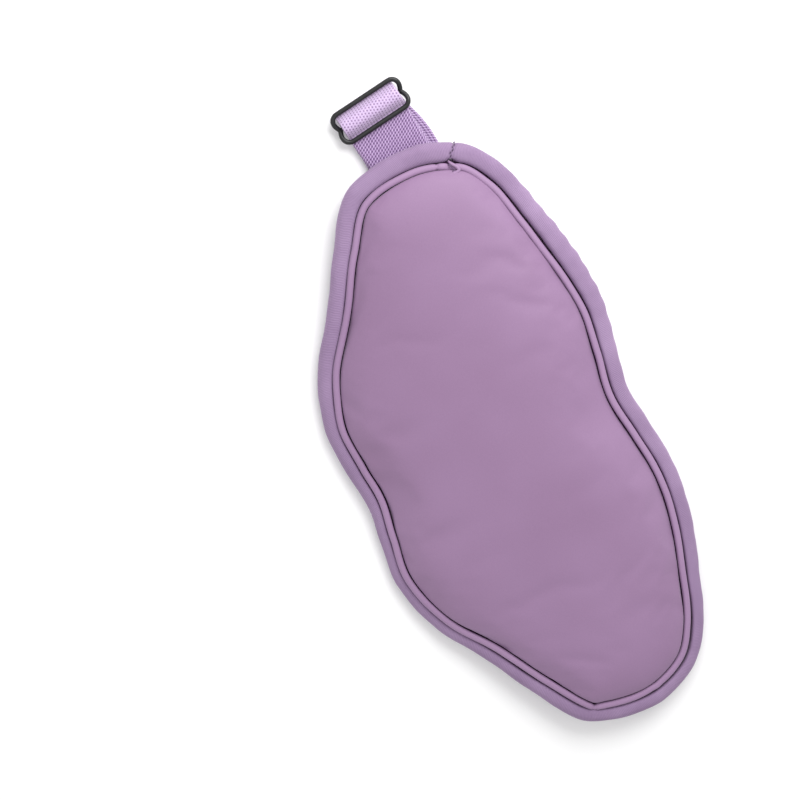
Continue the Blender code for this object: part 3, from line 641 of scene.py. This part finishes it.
# ---- seam stitches --------------------------------------------------------------------------
# Lockstitch in thread coloured dark purple, darker than the cloth as painted shade of the grooves: one row
# each side of the piping, sunk in its grooves, one row that shows on the back, beside the binding, and a
# darker row that closes the binding's two ends.
STITCH_LENGTH = 2.0 * MM
STITCH_SPACING = 2.9 * MM
THREAD_RADIUS = 0.22 * MM
SEAM_CLEAR = 0.1 * MM
GROOVE_H = 0.75 * MM
BACK_ROW_H = -1.6 * MM
JOIN_SPACING, JOIN_LENGTH, JOIN_RADIUS = 1.15 * MM, 0.95 * MM, 0.24 * MM
JOIN_SUNK = 0.96
JOIN_WAVER, JOIN_LEAN = 0.28 * MM, 1.0 * MM
JOIN_ANGLES = np.radians(np.arange(-20, 172, 4))


def stitch_tree():
    """Lays one short bead of thread after another along a line of points."""
    tree = bpy.data.node_groups.new("row_of_stitches", "GeometryNodeTree")
    face = tree.interface
    face.new_socket(name="Line", in_out="INPUT", socket_type="NodeSocketGeometry")
    sizes = {"Spacing": STITCH_SPACING, "Stitch length": STITCH_LENGTH, "Thread radius": THREAD_RADIUS}
    for name, size in sizes.items():
        socket = face.new_socket(name=name, in_out="INPUT", socket_type="NodeSocketFloat")
        socket.default_value = size
    face.new_socket(name="Thread", in_out="INPUT", socket_type="NodeSocketMaterial")
    face.new_socket(name="Stitches", in_out="OUTPUT", socket_type="NodeSocketGeometry")
    new, link = tree.nodes.new, tree.links.new
    start, end = new("NodeGroupInput"), new("NodeGroupOutput")
    curve = new("GeometryNodeMeshToCurve")
    resample = new("GeometryNodeResampleCurve")
    resample.mode = "LENGTH"
    tangent = new("GeometryNodeInputTangent")
    align = new("FunctionNodeAlignEulerToVector")
    align.axis = "X"
    bead = new("GeometryNodeMeshUVSphere")
    bead.inputs["Segments"].default_value = 8
    bead.inputs["Rings"].default_value = 6
    bead.inputs["Radius"].default_value = 1.0
    size = new("ShaderNodeCombineXYZ")
    halve = new("ShaderNodeMath")
    halve.operation = "MULTIPLY"
    halve.inputs[1].default_value = 0.5
    place = new("GeometryNodeInstanceOnPoints")
    real = new("GeometryNodeRealizeInstances")
    colour = new("GeometryNodeSetMaterial")
    link(start.outputs["Line"], curve.inputs["Mesh"])
    link(curve.outputs["Curve"], resample.inputs["Curve"])
    link(start.outputs["Spacing"], resample.inputs["Length"])
    link(resample.outputs["Curve"], place.inputs["Points"])
    link(tangent.outputs["Tangent"], align.inputs["Vector"])
    link(align.outputs["Rotation"], place.inputs["Rotation"])
    link(bead.outputs["Mesh"], place.inputs["Instance"])
    link(start.outputs["Stitch length"], halve.inputs[0])
    link(halve.outputs[0], size.inputs["X"])
    link(start.outputs["Thread radius"], size.inputs["Y"])
    link(start.outputs["Thread radius"], size.inputs["Z"])
    link(size.outputs["Vector"], place.inputs["Scale"])
    link(place.outputs["Instances"], real.inputs["Geometry"])
    link(real.outputs["Geometry"], colour.inputs["Geometry"])
    link(start.outputs["Thread"], colour.inputs["Material"])
    link(colour.outputs["Geometry"], end.inputs["Stitches"])
    return tree


row_of_stitches = stitch_tree()


def sew(name, points, closed, thread, spacing, length, radius):
    """A row of stitches along points, as a plain mesh."""
    count = len(points)
    edges = [(i, (i + 1) % count) for i in range(count if closed else count - 1)]
    mesh = bpy.data.meshes.new(name + "_line")
    mesh.from_pydata([tuple(p) for p in points], edges, [])
    line = bpy.data.objects.new(name + "_line", mesh)
    bpy.context.scene.collection.objects.link(line)
    modifier = line.modifiers.new("row", "NODES")
    modifier.node_group = row_of_stitches
    values = {"Spacing": spacing, "Stitch length": length, "Thread radius": radius, "Thread": thread}
    for item in row_of_stitches.interface.items_tree:
        if item.in_out == "INPUT" and item.name in values:
            modifier[item.identifier] = values[item.name]
    bpy.context.view_layer.update()
    shown = line.evaluated_get(bpy.context.evaluated_depsgraph_get())
    sewn_mesh = bpy.data.meshes.new_from_object(shown)
    bpy.data.objects.remove(line)
    sewn = bpy.data.objects.new(name, sewn_mesh)
    bpy.context.scene.collection.objects.link(sewn)
    for face in sewn_mesh.polygons:
        face.use_smooth = True
    return sewn


def spun_thread(name, colour):
    """Spun polyester thread: fine lighter and darker fibres, with a faint shine."""
    made, tree, shader, add = shader_graph(name)
    place = add("ShaderNodeTexCoord").outputs["Object"]
    fibres = noise_node(tree, place, 2400, 2.0)
    dark = tuple(0.6 * c for c in colour)
    tree.links.new(colour_ramp(tree, fibres, [(0.3, dark), (0.7, colour)]), shader.inputs["Base Color"])
    tree.links.new(bump_node(tree, fibres, 0.05 * MM, 0.8), shader.inputs["Normal"])
    shader.inputs["Roughness"].default_value = 0.5
    shader.inputs["Sheen Weight"].default_value = 0.3
    return made


def edge_line(n, h):
    """Points of a seam round the mask, n out from the edge and h over the middle surface."""
    flat = (edge + outward * n[:, None])[::2]
    return np.column_stack([flat, middle(flat[:, 1]) + h])


# Painted shade: the thread's dark purple stands in for the shade deep in the grooves.
lilac_thread = spun_thread("lilac_thread", (0.16, 0.05, 0.20))
for name, node, n, h in (
    ("binding_stitches", "binding_thread_front", -roll_width - SEAM_CLEAR, GROOVE_H),
    ("piping_stitches", "piping_thread", piping_n - PIPING_HALF - SEAM_CLEAR, GROOVE_H),
    ("back_stitches", "binding_thread_back", -roll_width - SEAM_CLEAR, BACK_ROW_H),
):
    row = sew(name, edge_line(n, h), True, lilac_thread, STITCH_SPACING, STITCH_LENGTH, THREAD_RADIUS)
    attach(row, "mask")
    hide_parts(node)

join_out = np.array([*outward[join], 0.0])
join_along = np.array([-outward[join][1], outward[join][0], 0.0])
join_flat = edge[join] + outward[join] * BINDING_N[join]
join_centre = np.array([*join_flat, middle(join_flat[1])])
arc = []
for angle in JOIN_ANGLES:
    radial = join_out * math.cos(angle) * BINDING_HALF_WIDTH[join]
    radial = radial + np.array([0, 0, 1.0]) * math.sin(angle) * BINDING_HALF_HEIGHT[join]
    sway = join_along * (JOIN_WAVER * math.sin(9 * angle) - JOIN_LEAN * math.cos(angle))
    arc.append(join_centre + radial * JOIN_SUNK + sway)
dark_thread = spun_thread("dark_lilac_thread", (0.11, 0.05, 0.14))
join_row = sew("join_stitches", arc, False, dark_thread, JOIN_SPACING, JOIN_LENGTH, JOIN_RADIUS)
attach(join_row, "mask")
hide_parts("binding_join_thread")

# ---- gathered tuck at the join --------------------------------------------------------------
# Where the piping's two ends overlap, its cloth bunches into a small hooked fold over the seam,
# with two dark threads beside it that stand in for the fold's shadow lines, as painted shade.
FOLD_RADIUS = 0.55 * MM
FOLD_H = 3.2 * MM
FOLD_SUNK = 0.9 * MM
FOLD_ROUTE = [
    (-91.8, 19.3), (-90.4, 20.0), (-89.0, 21.0), (-87.8, 21.3), (-87.4, 20.3), (-87.3, 19.3), (-86.5, 18.3),
    (-86.1, 17.5),
]
FOLD_SHADOW_LINES = [
    [(-91.0, 18.9), (-89.4, 19.5), (-88.4, 19.9), (-88.1, 19.1), (-87.4, 18.2)],
    [(-87.1, 21.7), (-86.6, 20.3), (-86.4, 19.3), (-85.7, 18.5)],
]
FOLD_SHADOW_RADIUS = 0.17 * MM
FOLD_SHADOW_H = FOLD_H + 0.1 * MM


def over_seam(route, h):
    """A smooth line over the seam through (x, y) places in millimetres, lower at both its ends."""
    line = smooth_through(route, 5, False) * MM
    share = np.linspace(0, 1, len(line))
    sunk = FOLD_SUNK * (np.clip(1 - share / 0.2, 0, 1) + np.clip(1 - (1 - share) / 0.2, 0, 1)) ** 2
    return np.column_stack([line, middle(line[:, 1]) + h - sunk])


def soft_rod(name, lines, radius, cloth, sides):
    """Round folds or threads along lines of points, with pointed, closed ends."""
    verts, faces = [], []
    for line in lines:
        along = np.gradient(line, axis=0)
        along /= np.linalg.norm(along, axis=1)[:, None]
        beside = np.column_stack([along[:, 1], -along[:, 0], np.zeros(len(line))])
        beside /= np.linalg.norm(beside, axis=1)[:, None]
        above = np.cross(beside, along)
        share = np.linspace(-1, 1, len(line))
        thick = radius * (1 - 0.75 * share**6)
        first = len(verts)
        turns = 2 * math.pi * np.arange(sides) / sides
        for centre, b, a, r in zip(line, beside, above, thick):
            verts += [centre + r * (b * math.cos(t) + a * math.sin(t)) for t in turns]
        for i in range(len(line) - 1):
            for k in range(sides):
                m = (k + 1) % sides
                low, high = first + i * sides, first + (i + 1) * sides
                faces.append((low + k, high + k, high + m, low + m))
        faces.append(tuple(first + k for k in range(sides)))
        faces.append(tuple(len(verts) - 1 - k for k in range(sides)))
    made = mesh_object(name, verts, faces)
    made.data.materials.append(cloth)
    faces_out(made)
    return made


tuck_fold = soft_rod("gathered_fold", [over_seam(FOLD_ROUTE, FOLD_H)], FOLD_RADIUS, piping_satin, 10)
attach(tuck_fold, "mask")
# Painted shade: two dark threads beside the fold stand in for its shadow lines.
fold_shadow_lines = [over_seam(route, FOLD_SHADOW_H) for route in FOLD_SHADOW_LINES]
fold_shadow_threads = soft_rod("painted_fold_shadows", fold_shadow_lines, FOLD_SHADOW_RADIUS, dark_thread, 6)
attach(fold_shadow_threads, "mask")

# ---- elastic strap --------------------------------------------------------------------------
# One length of woven elastic, 21.4 mm wide: sewn under the mask's tip, threaded through the slider,
# folded back under the mask, round the keeper at the far tip, and back to the slider's middle bar.
# The stretch over the slider's bar is drawn tight, so its floats lie closer there; that band's copy of the
# elastic also has paler thread and shine colours, a painted highlight for the light it catches.
STRAP_WIDTH = 21.4 * MM
STRAP_THICK = 0.8 * MM
STRAP_CELL = 0.36 * MM
STRAP_LONG_CELL = 0.6 * MM
STRAP_YAW = math.radians(9)
TIP = np.array([-101.0, 6.0, 0.0]) * MM
OUT = np.array([-math.cos(STRAP_YAW), -math.sin(STRAP_YAW), 0.0])
ACROSS = np.array([math.sin(STRAP_YAW), -math.cos(STRAP_YAW), 0.0])
LOW_Z, MIDDLE_Z, HIGH_Z = 0.4 * MM, 1.5 * MM, 2.6 * MM
BAR_Z, CENTRE_BAR_Z, LOOP_TOP_Z, CROSSING_Z = 4.0 * MM, 2.9 * MM, 4.3 * MM, 5.4 * MM
SLIDER_LENGTH, SLIDER_BAR, SLIDER_THICK = 11.4 * MM, 1.5 * MM, 1.4 * MM
SLIDER_REACH = 15.2 * MM
SELVAGE_PITCH = 1.1 * MM
SELVAGE_DEPTH = 0.14 * MM
SELVAGE_ROUND = 0.12 * MM
WEAVE_COLUMN, WEAVE_ROW = 0.98 * MM, 0.92 * MM
RUBBER = (0.07, 0.03, 0.11)


def on_strap(reach, side=0.0, height=0.0):
    """A point of the strap's own frame: reach is outwards from the mask's tip."""
    return TIP + OUT * reach + ACROSS * side + np.array([0, 0, height])


def ribbon(name, path, across, thick=STRAP_THICK, width=STRAP_WIDTH, cell=STRAP_CELL, taper=None):
    """A flat woven band with rounded, slightly scalloped selvages and open ends closed off; taper
    gives how much of its width it keeps at each point of the path."""
    path, across = np.asarray(path, float), np.asarray(across, float)
    steps = np.linalg.norm(np.diff(path, axis=0), axis=1)
    keep = np.r_[True, steps > 1e-6]
    path, across = path[keep], across[keep]
    taper = np.ones(len(path)) if taper is None else np.asarray(taper)[keep]
    run = np.r_[0, np.cumsum(np.linalg.norm(np.diff(path, axis=0), axis=1))]
    count = max(8, int(run[-1] / cell))
    at = np.linspace(0, run[-1], count)
    path = np.stack([np.interp(at, run, path[:, k]) for k in range(3)], axis=1)
    across = np.stack([np.interp(at, run, across[:, k]) for k in range(3)], axis=1)
    across /= np.linalg.norm(across, axis=1)[:, None]
    taper = np.interp(at, run, taper)
    along = np.gradient(path, axis=0)
    along /= np.linalg.norm(along, axis=1)[:, None]
    up = np.cross(along, across)
    half, ply = width / 2, thick / 2
    flat_half, round_half = half - 0.5 * MM, half - SELVAGE_ROUND
    section = [(s, ply) for s in np.linspace(-flat_half, flat_half, 13)]
    section += [(round_half, 0.55 * ply), (half, 0.0), (round_half, -0.55 * ply)]
    section += [(s, -ply) for s in np.linspace(flat_half, -flat_half, 13)]
    section += [(-round_half, -0.55 * ply), (-half, 0.0), (-round_half, 0.55 * ply)]
    scallop = SELVAGE_DEPTH * np.abs(np.sin(math.pi * at / SELVAGE_PITCH))
    rows = []
    size = len(section)
    for s, u in section:
        side = s - np.sign(s) * scallop * (abs(s) > half - 0.3 * MM)
        row = path + across * np.asarray(side * taper)[:, None] + up * u
        row[:, 2] = np.maximum(row[:, 2], 0.0)
        rows.append(row)
    faces, uvs = [], []
    for k in range(size):
        m = (k + 1) % size
        for i in range(count - 1):
            faces.append((k * count + i, m * count + i, m * count + i + 1, k * count + i + 1))
            v0, v1 = section[k][0], section[m][0]
            uvs += [(at[i], v0), (at[i], v1), (at[i + 1], v1), (at[i + 1], v0)]
    for i, order in ((0, range(size)[::-1]), (count - 1, range(size))):
        faces.append(tuple(k * count + i for k in order))
        uvs += [(at[i], section[k][0]) for k in order]
    made = mesh_object(name, np.vstack(rows), faces, uvs)
    faces_out(made)
    return made


def woven_elastic(name, gap, thread, shine, ridge):
    """Woven elastic: short slanted floats of bright filament in columns along it, over a darker
    rubber core; ridge is how far neighbouring floats close up, down to small dark eyes at 1."""
    made, tree, shader, add = shader_graph(name)
    uv = add("ShaderNodeUVMap", uv_map="cloth").outputs["UV"]
    place = add("ShaderNodeTexCoord").outputs["Object"]
    split = add("ShaderNodeSeparateXYZ")
    tree.links.new(uv, split.inputs["Vector"])
    wander = math_node(tree, "MULTIPLY", noise_node(tree, place, 300, 2.0), 0.25)
    column = math_node(tree, "DIVIDE", split.outputs["Y"], WEAVE_COLUMN)
    row = math_node(tree, "ADD", math_node(tree, "DIVIDE", split.outputs["X"], WEAVE_ROW), wander)
    beside = math_node(tree, "FRACT", column)
    stagger = math_node(tree, "MULTIPLY", math_node(tree, "FLOOR", column), 0.5)
    slant = math_node(tree, "MULTIPLY_ADD", beside, 0.8, stagger)
    along = math_node(tree, "FRACT", math_node(tree, "ADD", row, slant))
    hump_a = math_node(tree, "SINE", math_node(tree, "MULTIPLY", along, math.pi))
    hump_b = math_node(tree, "SINE", math_node(tree, "MULTIPLY", beside, math.pi))
    either = math_node(tree, "MAXIMUM", hump_a, hump_b)
    both = math_node(tree, "MULTIPLY", math_node(tree, "POWER", hump_b, 0.6), hump_a)
    float_height = math_node(tree, "MULTIPLY_ADD", math_node(tree, "SUBTRACT", either, both), ridge, both)
    glint = noise_node(tree, place, 1900, 2.0)
    lit = math_node(tree, "MULTIPLY_ADD", glint, 0.5, math_node(tree, "SUBTRACT", float_height, 0.25))
    colour = colour_ramp(tree, lit, [(0.15, gap), (0.50, thread), (0.98, shine)])
    tree.links.new(colour, shader.inputs["Base Color"])
    normal = bump_node(tree, float_height, 0.16 * MM, 0.9)
    tree.links.new(normal, shader.inputs["Normal"])
    shader.inputs["Roughness"].default_value = 0.5
    shader.inputs["Specular IOR Level"].default_value = 0.4
    shader.inputs["Sheen Weight"].default_value = 0.3
    return made


elastic = woven_elastic("lilac_woven_elastic", RUBBER, (0.235, 0.135, 0.30), (0.50, 0.36, 0.58), 0.3)
# Painted highlight: the taut copy's thread and shine colours are paler than the elastic's; its closer
# floats are real.
taut_lit_elastic = woven_elastic("taut_lit_lilac_elastic", RUBBER, (0.36, 0.24, 0.43), (0.57, 0.44, 0.65), 0.8)


def straight(shape, per_span=6):
    """Path and across directions of a band that follows (reach, height) points straight outwards."""
    path = [on_strap(reach, 0, z) for reach, z in smooth_through(shape, per_span, False)]
    return path, np.tile(ACROSS, (len(path), 1))


def u_turn(centre, low, high):
    """Half circle from the high level to the low one, bulging outwards, as (reach, height) pairs."""
    radius, level = (high - low) / 2, (high + low) / 2
    turns = np.linspace(math.pi / 2, -math.pi / 2, 13)
    return [(centre + radius * math.cos(a), level + radius * math.sin(a)) for a in turns]


DRAWN_IN = 0.93
near_edge = SLIDER_REACH - SLIDER_LENGTH / 2
front_path, front_across = straight([
    (-17.0 * MM, 2.9 * MM), (-14.5 * MM, 3.5 * MM), (-12.0 * MM, 3.5 * MM), (-9.0 * MM, HIGH_Z),
    (-4.5 * MM, HIGH_Z), (0.0, HIGH_Z), (near_edge + 0.1 * MM, HIGH_Z),
])
drawn_in = np.interp([(TIP - p) @ -OUT for p in front_path], [-1 * MM, near_edge], [DRAWN_IN, 1.0])
front_run = ribbon("strap_front_run", front_path, front_across, taper=drawn_in)
front_run.data.materials.append(elastic)
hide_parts("strap_anchored_run")
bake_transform(front_run)

TURN_RADIUS = (HIGH_Z - LOW_Z) / 2
TURN_TAIL, TURN_LAP = 1.6 * MM, 1.5 * MM
bar_edge = SLIDER_LENGTH / 2 - SLIDER_BAR
climb = [
    (SLIDER_LENGTH / 2, HIGH_Z), (bar_edge + 0.1 * MM, HIGH_Z), (bar_edge - 0.6 * MM, HIGH_Z + 0.15 * MM),
    (bar_edge - 1.6 * MM, 4.0 * MM), (bar_edge - 3.1 * MM, CROSSING_Z),
]
over = [(SLIDER_REACH - d, z) for d, z in climb] + [(SLIDER_REACH + d, z) for d, z in climb[:0:-1]]
fold_reach = SLIDER_REACH + SLIDER_LENGTH / 2 - TURN_RADIUS - STRAP_THICK / 2
turn_shape = [tuple(p) for p in smooth_through(over, 6, False)] + u_turn(fold_reach, LOW_Z, HIGH_Z)[1:]
turn_shape.append((fold_reach - TURN_TAIL, LOW_Z))
slider_turn = ribbon("strap_slider_turn_band", *straight(turn_shape, 2))
slider_turn.data.materials.append(taut_lit_elastic)
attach(slider_turn, "slider")
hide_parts("strap_slider_turn")

LOOP_TAIL = 9 * MM
loop_shape = [
    (SLIDER_REACH - 1.05 * MM, LOOP_TOP_Z),
    *u_turn(SLIDER_REACH + 0.1 * MM, MIDDLE_Z, LOOP_TOP_Z),
    (SLIDER_REACH - LOOP_TAIL, MIDDLE_Z),
]
sewn_loop = ribbon("strap_slider_loop", *straight(loop_shape, 2))
sewn_loop.data.materials.append(elastic)
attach(sewn_loop, "slider")
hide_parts("strap_sewn_end")

KEEPER_X, KEEPER_WIDTH = 85 * MM, 8 * MM
KEEPER_CLEAR = 0.3 * MM
END_Y = 6.5 * MM
start = on_strap(fold_reach - TURN_LAP)
loop_end = on_strap(SLIDER_REACH - LOOP_TAIL)
yaw = math.degrees(STRAP_YAW)
# The lower layer runs out to the keeper and the upper one back: x, y, and its heading in degrees.
lower = [
    (start[0], start[1], yaw), (start[0] + 6 * MM, start[1] + 1.4 * MM, yaw + 5),
    (TIP[0], TIP[1] + 2.5 * MM, yaw), (-81 * MM, TIP[1] + 3.7 * MM, 3),
    (-40 * MM, TIP[1] + 3.1 * MM, -2), (10 * MM, END_Y + 1.2 * MM, -2),
    (61 * MM, END_Y, 0), (KEEPER_X, END_Y, 0),
]
upper = [
    (KEEPER_X, END_Y, 0), (61 * MM, END_Y, 0),
    (10 * MM, END_Y + 0.6 * MM, 0), (-40 * MM, TIP[1] + 2.3 * MM, 1),
    (-81 * MM, TIP[1] + 2.0 * MM, yaw * 0.8),
    (loop_end[0] + 6 * MM, loop_end[1] + 6 * MM * math.tan(STRAP_YAW), yaw),
    (loop_end[0], loop_end[1], yaw),
]
path, headings = [], []
for x, y, heading in smooth_through(lower, 8, False):
    path.append((x, y, LOW_Z))
    headings.append(heading)
turn_x = KEEPER_X + KEEPER_WIDTH / 2 + KEEPER_CLEAR
over_keeper = HIGH_Z + 0.05 * MM
for reach, z in u_turn(turn_x, LOW_Z, over_keeper)[::-1]:
    path.append((reach, END_Y, z))
    headings.append(0)
start_down = KEEPER_X - KEEPER_WIDTH / 2 - KEEPER_CLEAR
descent = KEEPER_WIDTH * 1.1
for share in np.linspace(0, 0.95, 8):
    ease = share * share * (3 - 2 * share)
    path.append((start_down - descent * share, END_Y, over_keeper - (over_keeper - MIDDLE_Z) * ease))
    headings.append(0)
for x, y, heading in smooth_through(upper, 8, False):
    if x < start_down - descent:
        path.append((x, y, MIDDLE_Z))
        headings.append(heading)
bearings = np.radians(headings)
across = np.column_stack([np.sin(bearings), -np.cos(bearings), np.zeros(len(bearings))])
long_run = ribbon("strap_long_band", path, across, cell=STRAP_LONG_CELL)
long_run.data.materials.append(elastic)
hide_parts("strap_long_run")
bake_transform(long_run)

# ---- keeper and anchor stitches -------------------------------------------------------------
# A short band of the same elastic, sewn to the back across the far tip, which the strap turns
# round, and the zigzag that holds the strap's own end under the near tip.
KEEPER_THICK = 0.8 * STRAP_THICK
KEEPER_END = 6 * MM
BACK_FACE = -3.8 * MM
half = STRAP_WIDTH / 2 + 1.1 * MM
end_reach = half + KEEPER_END
left_z, right_z = (middle(END_Y + side * end_reach) + BACK_FACE for side in (-1, 1))
keeper_shape = [
    (-end_reach, left_z), (-half - 2 * MM, left_z * 0.75 + MIDDLE_Z * 0.25), (-half + 1.5 * MM, MIDDLE_Z),
    (half - 1.5 * MM, MIDDLE_Z), (half + 2 * MM, right_z * 0.75 + MIDDLE_Z * 0.25), (end_reach, right_z),
]
keeper_path = [(KEEPER_X, END_Y + side, z) for side, z in smooth_through(keeper_shape, 6, False)]
keeper_across = np.tile((1.0, 0.0, 0.0), (len(keeper_path), 1))
keeper = ribbon("keeper_strap", keeper_path, keeper_across, KEEPER_THICK, KEEPER_WIDTH)
keeper.data.materials.append(elastic)
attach(keeper, "mask")
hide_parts("keeper_band")

ANCHOR_REACH, ANCHOR_SWAY, ANCHOR_Z = -13.4 * MM, 0.9 * MM, 2.75 * MM
ANCHOR_SPACING, ANCHOR_LENGTH, ANCHOR_RADIUS = 1.5 * MM, 1.3 * MM, 0.2 * MM
anchor_sides = np.linspace(-9.5 * MM, 9.5 * MM, 14)
zigzag = []
for i, side in enumerate(anchor_sides):
    zigzag.append(on_strap(ANCHOR_REACH + ANCHOR_SWAY * (-1) ** i, side, ANCHOR_Z))
anchor_row = sew(
    "anchor_stitches", zigzag, False, lilac_thread, ANCHOR_SPACING, ANCHOR_LENGTH, ANCHOR_RADIUS
)
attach(anchor_row, "mask")
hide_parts("strap_anchor_thread")

# ---- slider ---------------------------------------------------------------------------------
# A three-bar slider of black-coated cast metal, hardly thicker than wire.  Its middle bar sits lower,
# so both sides of the frame are drawn in and down to meet it; the coating is satin and finely grained.
SLIDER_WAIST = 0.4 * MM
SLIDER_CORNER = 2.4 * MM
SLIDER_CLEAR = 0.35 * MM
BAR_INSET = 0.6 * MM
ROD_SIDES = 14
FRAME_POINTS = 220
SLIDER_SIDE = STRAP_WIDTH / 2 + SLIDER_CLEAR + SLIDER_WAIST + SLIDER_BAR / 2
half_long = (SLIDER_LENGTH - SLIDER_BAR) / 2
quarter = [(0.0, SLIDER_SIDE - 1.9 * SLIDER_WAIST), (0.16 * half_long, SLIDER_SIDE - 1.1 * SLIDER_WAIST),
           (0.32 * half_long, SLIDER_SIDE - 0.35 * SLIDER_WAIST)]
for angle in np.radians([90, 67, 45, 22, 0]):
    quarter.append((half_long - SLIDER_CORNER + SLIDER_CORNER * math.cos(angle),
                    SLIDER_SIDE - SLIDER_CORNER + SLIDER_CORNER * math.sin(angle)))
quarter += [(half_long, s) for s in (6 * MM, 2 * MM)]
lobe = quarter + [(r, -s) for r, s in quarter[::-1]]
other_lobe = [(-r, s) for r, s in lobe[-2:0:-1]]
frame_line = evenly(smooth_through(lobe + other_lobe, 6, True), FRAME_POINTS, True)


def rod(bm, centres, cross, half_wide, half_high, closed):
    """A rounded rod along centres; cross gives its sideways direction at each point."""
    rings = []
    for centre, sideways in zip(centres, cross):
        ring = []
        for angle in 2 * math.pi * np.arange(ROD_SIDES) / ROD_SIDES:
            raised = np.array([0, 0, half_high * math.sin(angle)])
            ring.append(bm.verts.new(centre + sideways * half_wide * math.cos(angle) + raised))
        rings.append(ring)
    following = rings[1:] + rings[:1] if closed else rings[1:]
    for first, second in zip(rings, following):
        for i in range(ROD_SIDES):
            j = (i + 1) % ROD_SIDES
            bm.faces.new((first[i], first[j], second[j], second[i]))
    if not closed:
        bm.faces.new(rings[0])
        bm.faces.new(rings[-1])


tangent = np.roll(frame_line, -1, axis=0) - np.roll(frame_line, 1, axis=0)
tangent /= np.linalg.norm(tangent, axis=1)[:, None]
dips = (BAR_Z - CENTRE_BAR_Z) * np.clip(1 - np.abs(frame_line[:, 0]) / (0.75 * half_long), 0, 1) ** 1.2
bm = bmesh.new()
frame_centres = [on_strap(SLIDER_REACH + r, s, BAR_Z - d) for (r, s), d in zip(frame_line, dips)]
frame_cross = [OUT * t[1] - ACROSS * t[0] for t in tangent]
rod(bm, frame_centres, frame_cross, SLIDER_BAR * 0.53, SLIDER_THICK / 2, True)
bar_sides = np.linspace(-SLIDER_SIDE + BAR_INSET, SLIDER_SIDE - BAR_INSET, 12)
bar_centres = [on_strap(SLIDER_REACH, s, CENTRE_BAR_Z) for s in bar_sides]
rod(bm, bar_centres, [OUT] * len(bar_sides), SLIDER_BAR * 0.45, SLIDER_THICK * 0.44, False)
bmesh.ops.recalc_face_normals(bm, faces=bm.faces)
mesh = bpy.data.meshes.new("slider_buckle")
bm.to_mesh(mesh)
bm.free()
slider = bpy.data.objects.new("slider_buckle", mesh)
bpy.context.scene.collection.objects.link(slider)
for face in mesh.polygons:
    face.use_smooth = True
coating, tree, shader, add = shader_graph("black_coating")
place = add("ShaderNodeTexCoord").outputs["Object"]
grain = noise_node(tree, place, 900, 4.0)
black = colour_ramp(tree, grain, [(0.3, (0.006, 0.0062, 0.0066)), (0.75, (0.013, 0.0135, 0.0145))])
tree.links.new(black, shader.inputs["Base Color"])
tree.links.new(math_node(tree, "MULTIPLY_ADD", grain, 0.2, 0.30), shader.inputs["Roughness"])
tree.links.new(bump_node(tree, grain, 0.015 * MM, 0.6), shader.inputs["Normal"])
shader.inputs["Specular IOR Level"].default_value = 0.4
slider.data.materials.append(coating)
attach(slider, "slider")
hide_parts("slider_frame")

# ---- table, light and camera ----------------------------------------------------------------
# A white table, a soft light over the top of the view, a weaker and larger one from its lower left,
# and the camera above the mask, leaning a little towards its slider end.
bpy.ops.mesh.primitive_plane_add(size=4.0, location=(0, 0, 0))
table = bpy.context.object
table.name = "table_top"
white, tree, shader, add = shader_graph("white_table")
place = add("ShaderNodeTexCoord").outputs["Object"]
cloud = noise_node(tree, place, 3.0, 2.0)
paint = colour_ramp(tree, cloud, [(0.3, (0.90, 0.90, 0.90)), (0.7, (0.93, 0.93, 0.93))])
tree.links.new(paint, shader.inputs["Base Color"])
shader.inputs["Roughness"].default_value = 0.9
shader.inputs["Specular IOR Level"].default_value = 0.1
table.data.materials.append(white)

world = bpy.data.worlds.new("studio")
bpy.context.scene.world = world
world.use_nodes = True
daylight = world.node_tree.nodes["Background"]
daylight.inputs["Color"].default_value = (1, 1, 1, 1)
daylight.inputs["Strength"].default_value = 0.75
bpy.context.scene.view_settings.view_transform = "Standard"

TILT = math.radians(9)
DISTANCE = 0.62
FIELD = 0.2568
SENSOR = 36
TURN_ACROSS, TURN_ALONG = 0.4147, 0.91
AIM = Vector((-28.6, -25.9, 10.0)) * MM
lean_x = Vector((math.cos(TILT), 0, math.sin(TILT)))
back = Vector((-math.sin(TILT), 0, math.cos(TILT)))
right = lean_x * TURN_ACROSS + Vector((0, TURN_ALONG, 0))
right.normalize()
up = back.cross(right)


def lamp(name, towards, distance, size, power):
    """A square soft light that looks at the mask from a direction."""
    light = bpy.data.lights.new(name, "AREA")
    light.size = size
    light.energy = power
    made = bpy.data.objects.new(name, light)
    bpy.context.scene.collection.objects.link(made)
    direction = Vector(towards).normalized()
    made.location = direction * distance
    made.rotation_euler = direction.to_track_quat("Z", "Y").to_euler()
    return made


lamp("soft_key", right * 0.4 + up * 0.95 + back * 1.1, 0.45, 0.34, 2.15)
lamp("fill", right * -0.9 + up * -0.5 + back * 0.9, 0.9, 0.9, 1.6)

lens = bpy.data.cameras.new("camera")
lens.sensor_width = SENSOR
lens.lens = SENSOR * DISTANCE / FIELD
lens.clip_start = 0.01
camera = bpy.data.objects.new("camera", lens)
bpy.context.scene.collection.objects.link(camera)
camera.location = AIM + back * DISTANCE
camera.rotation_euler = Matrix((right, up, back)).transposed().to_euler()
bpy.context.scene.camera = camera
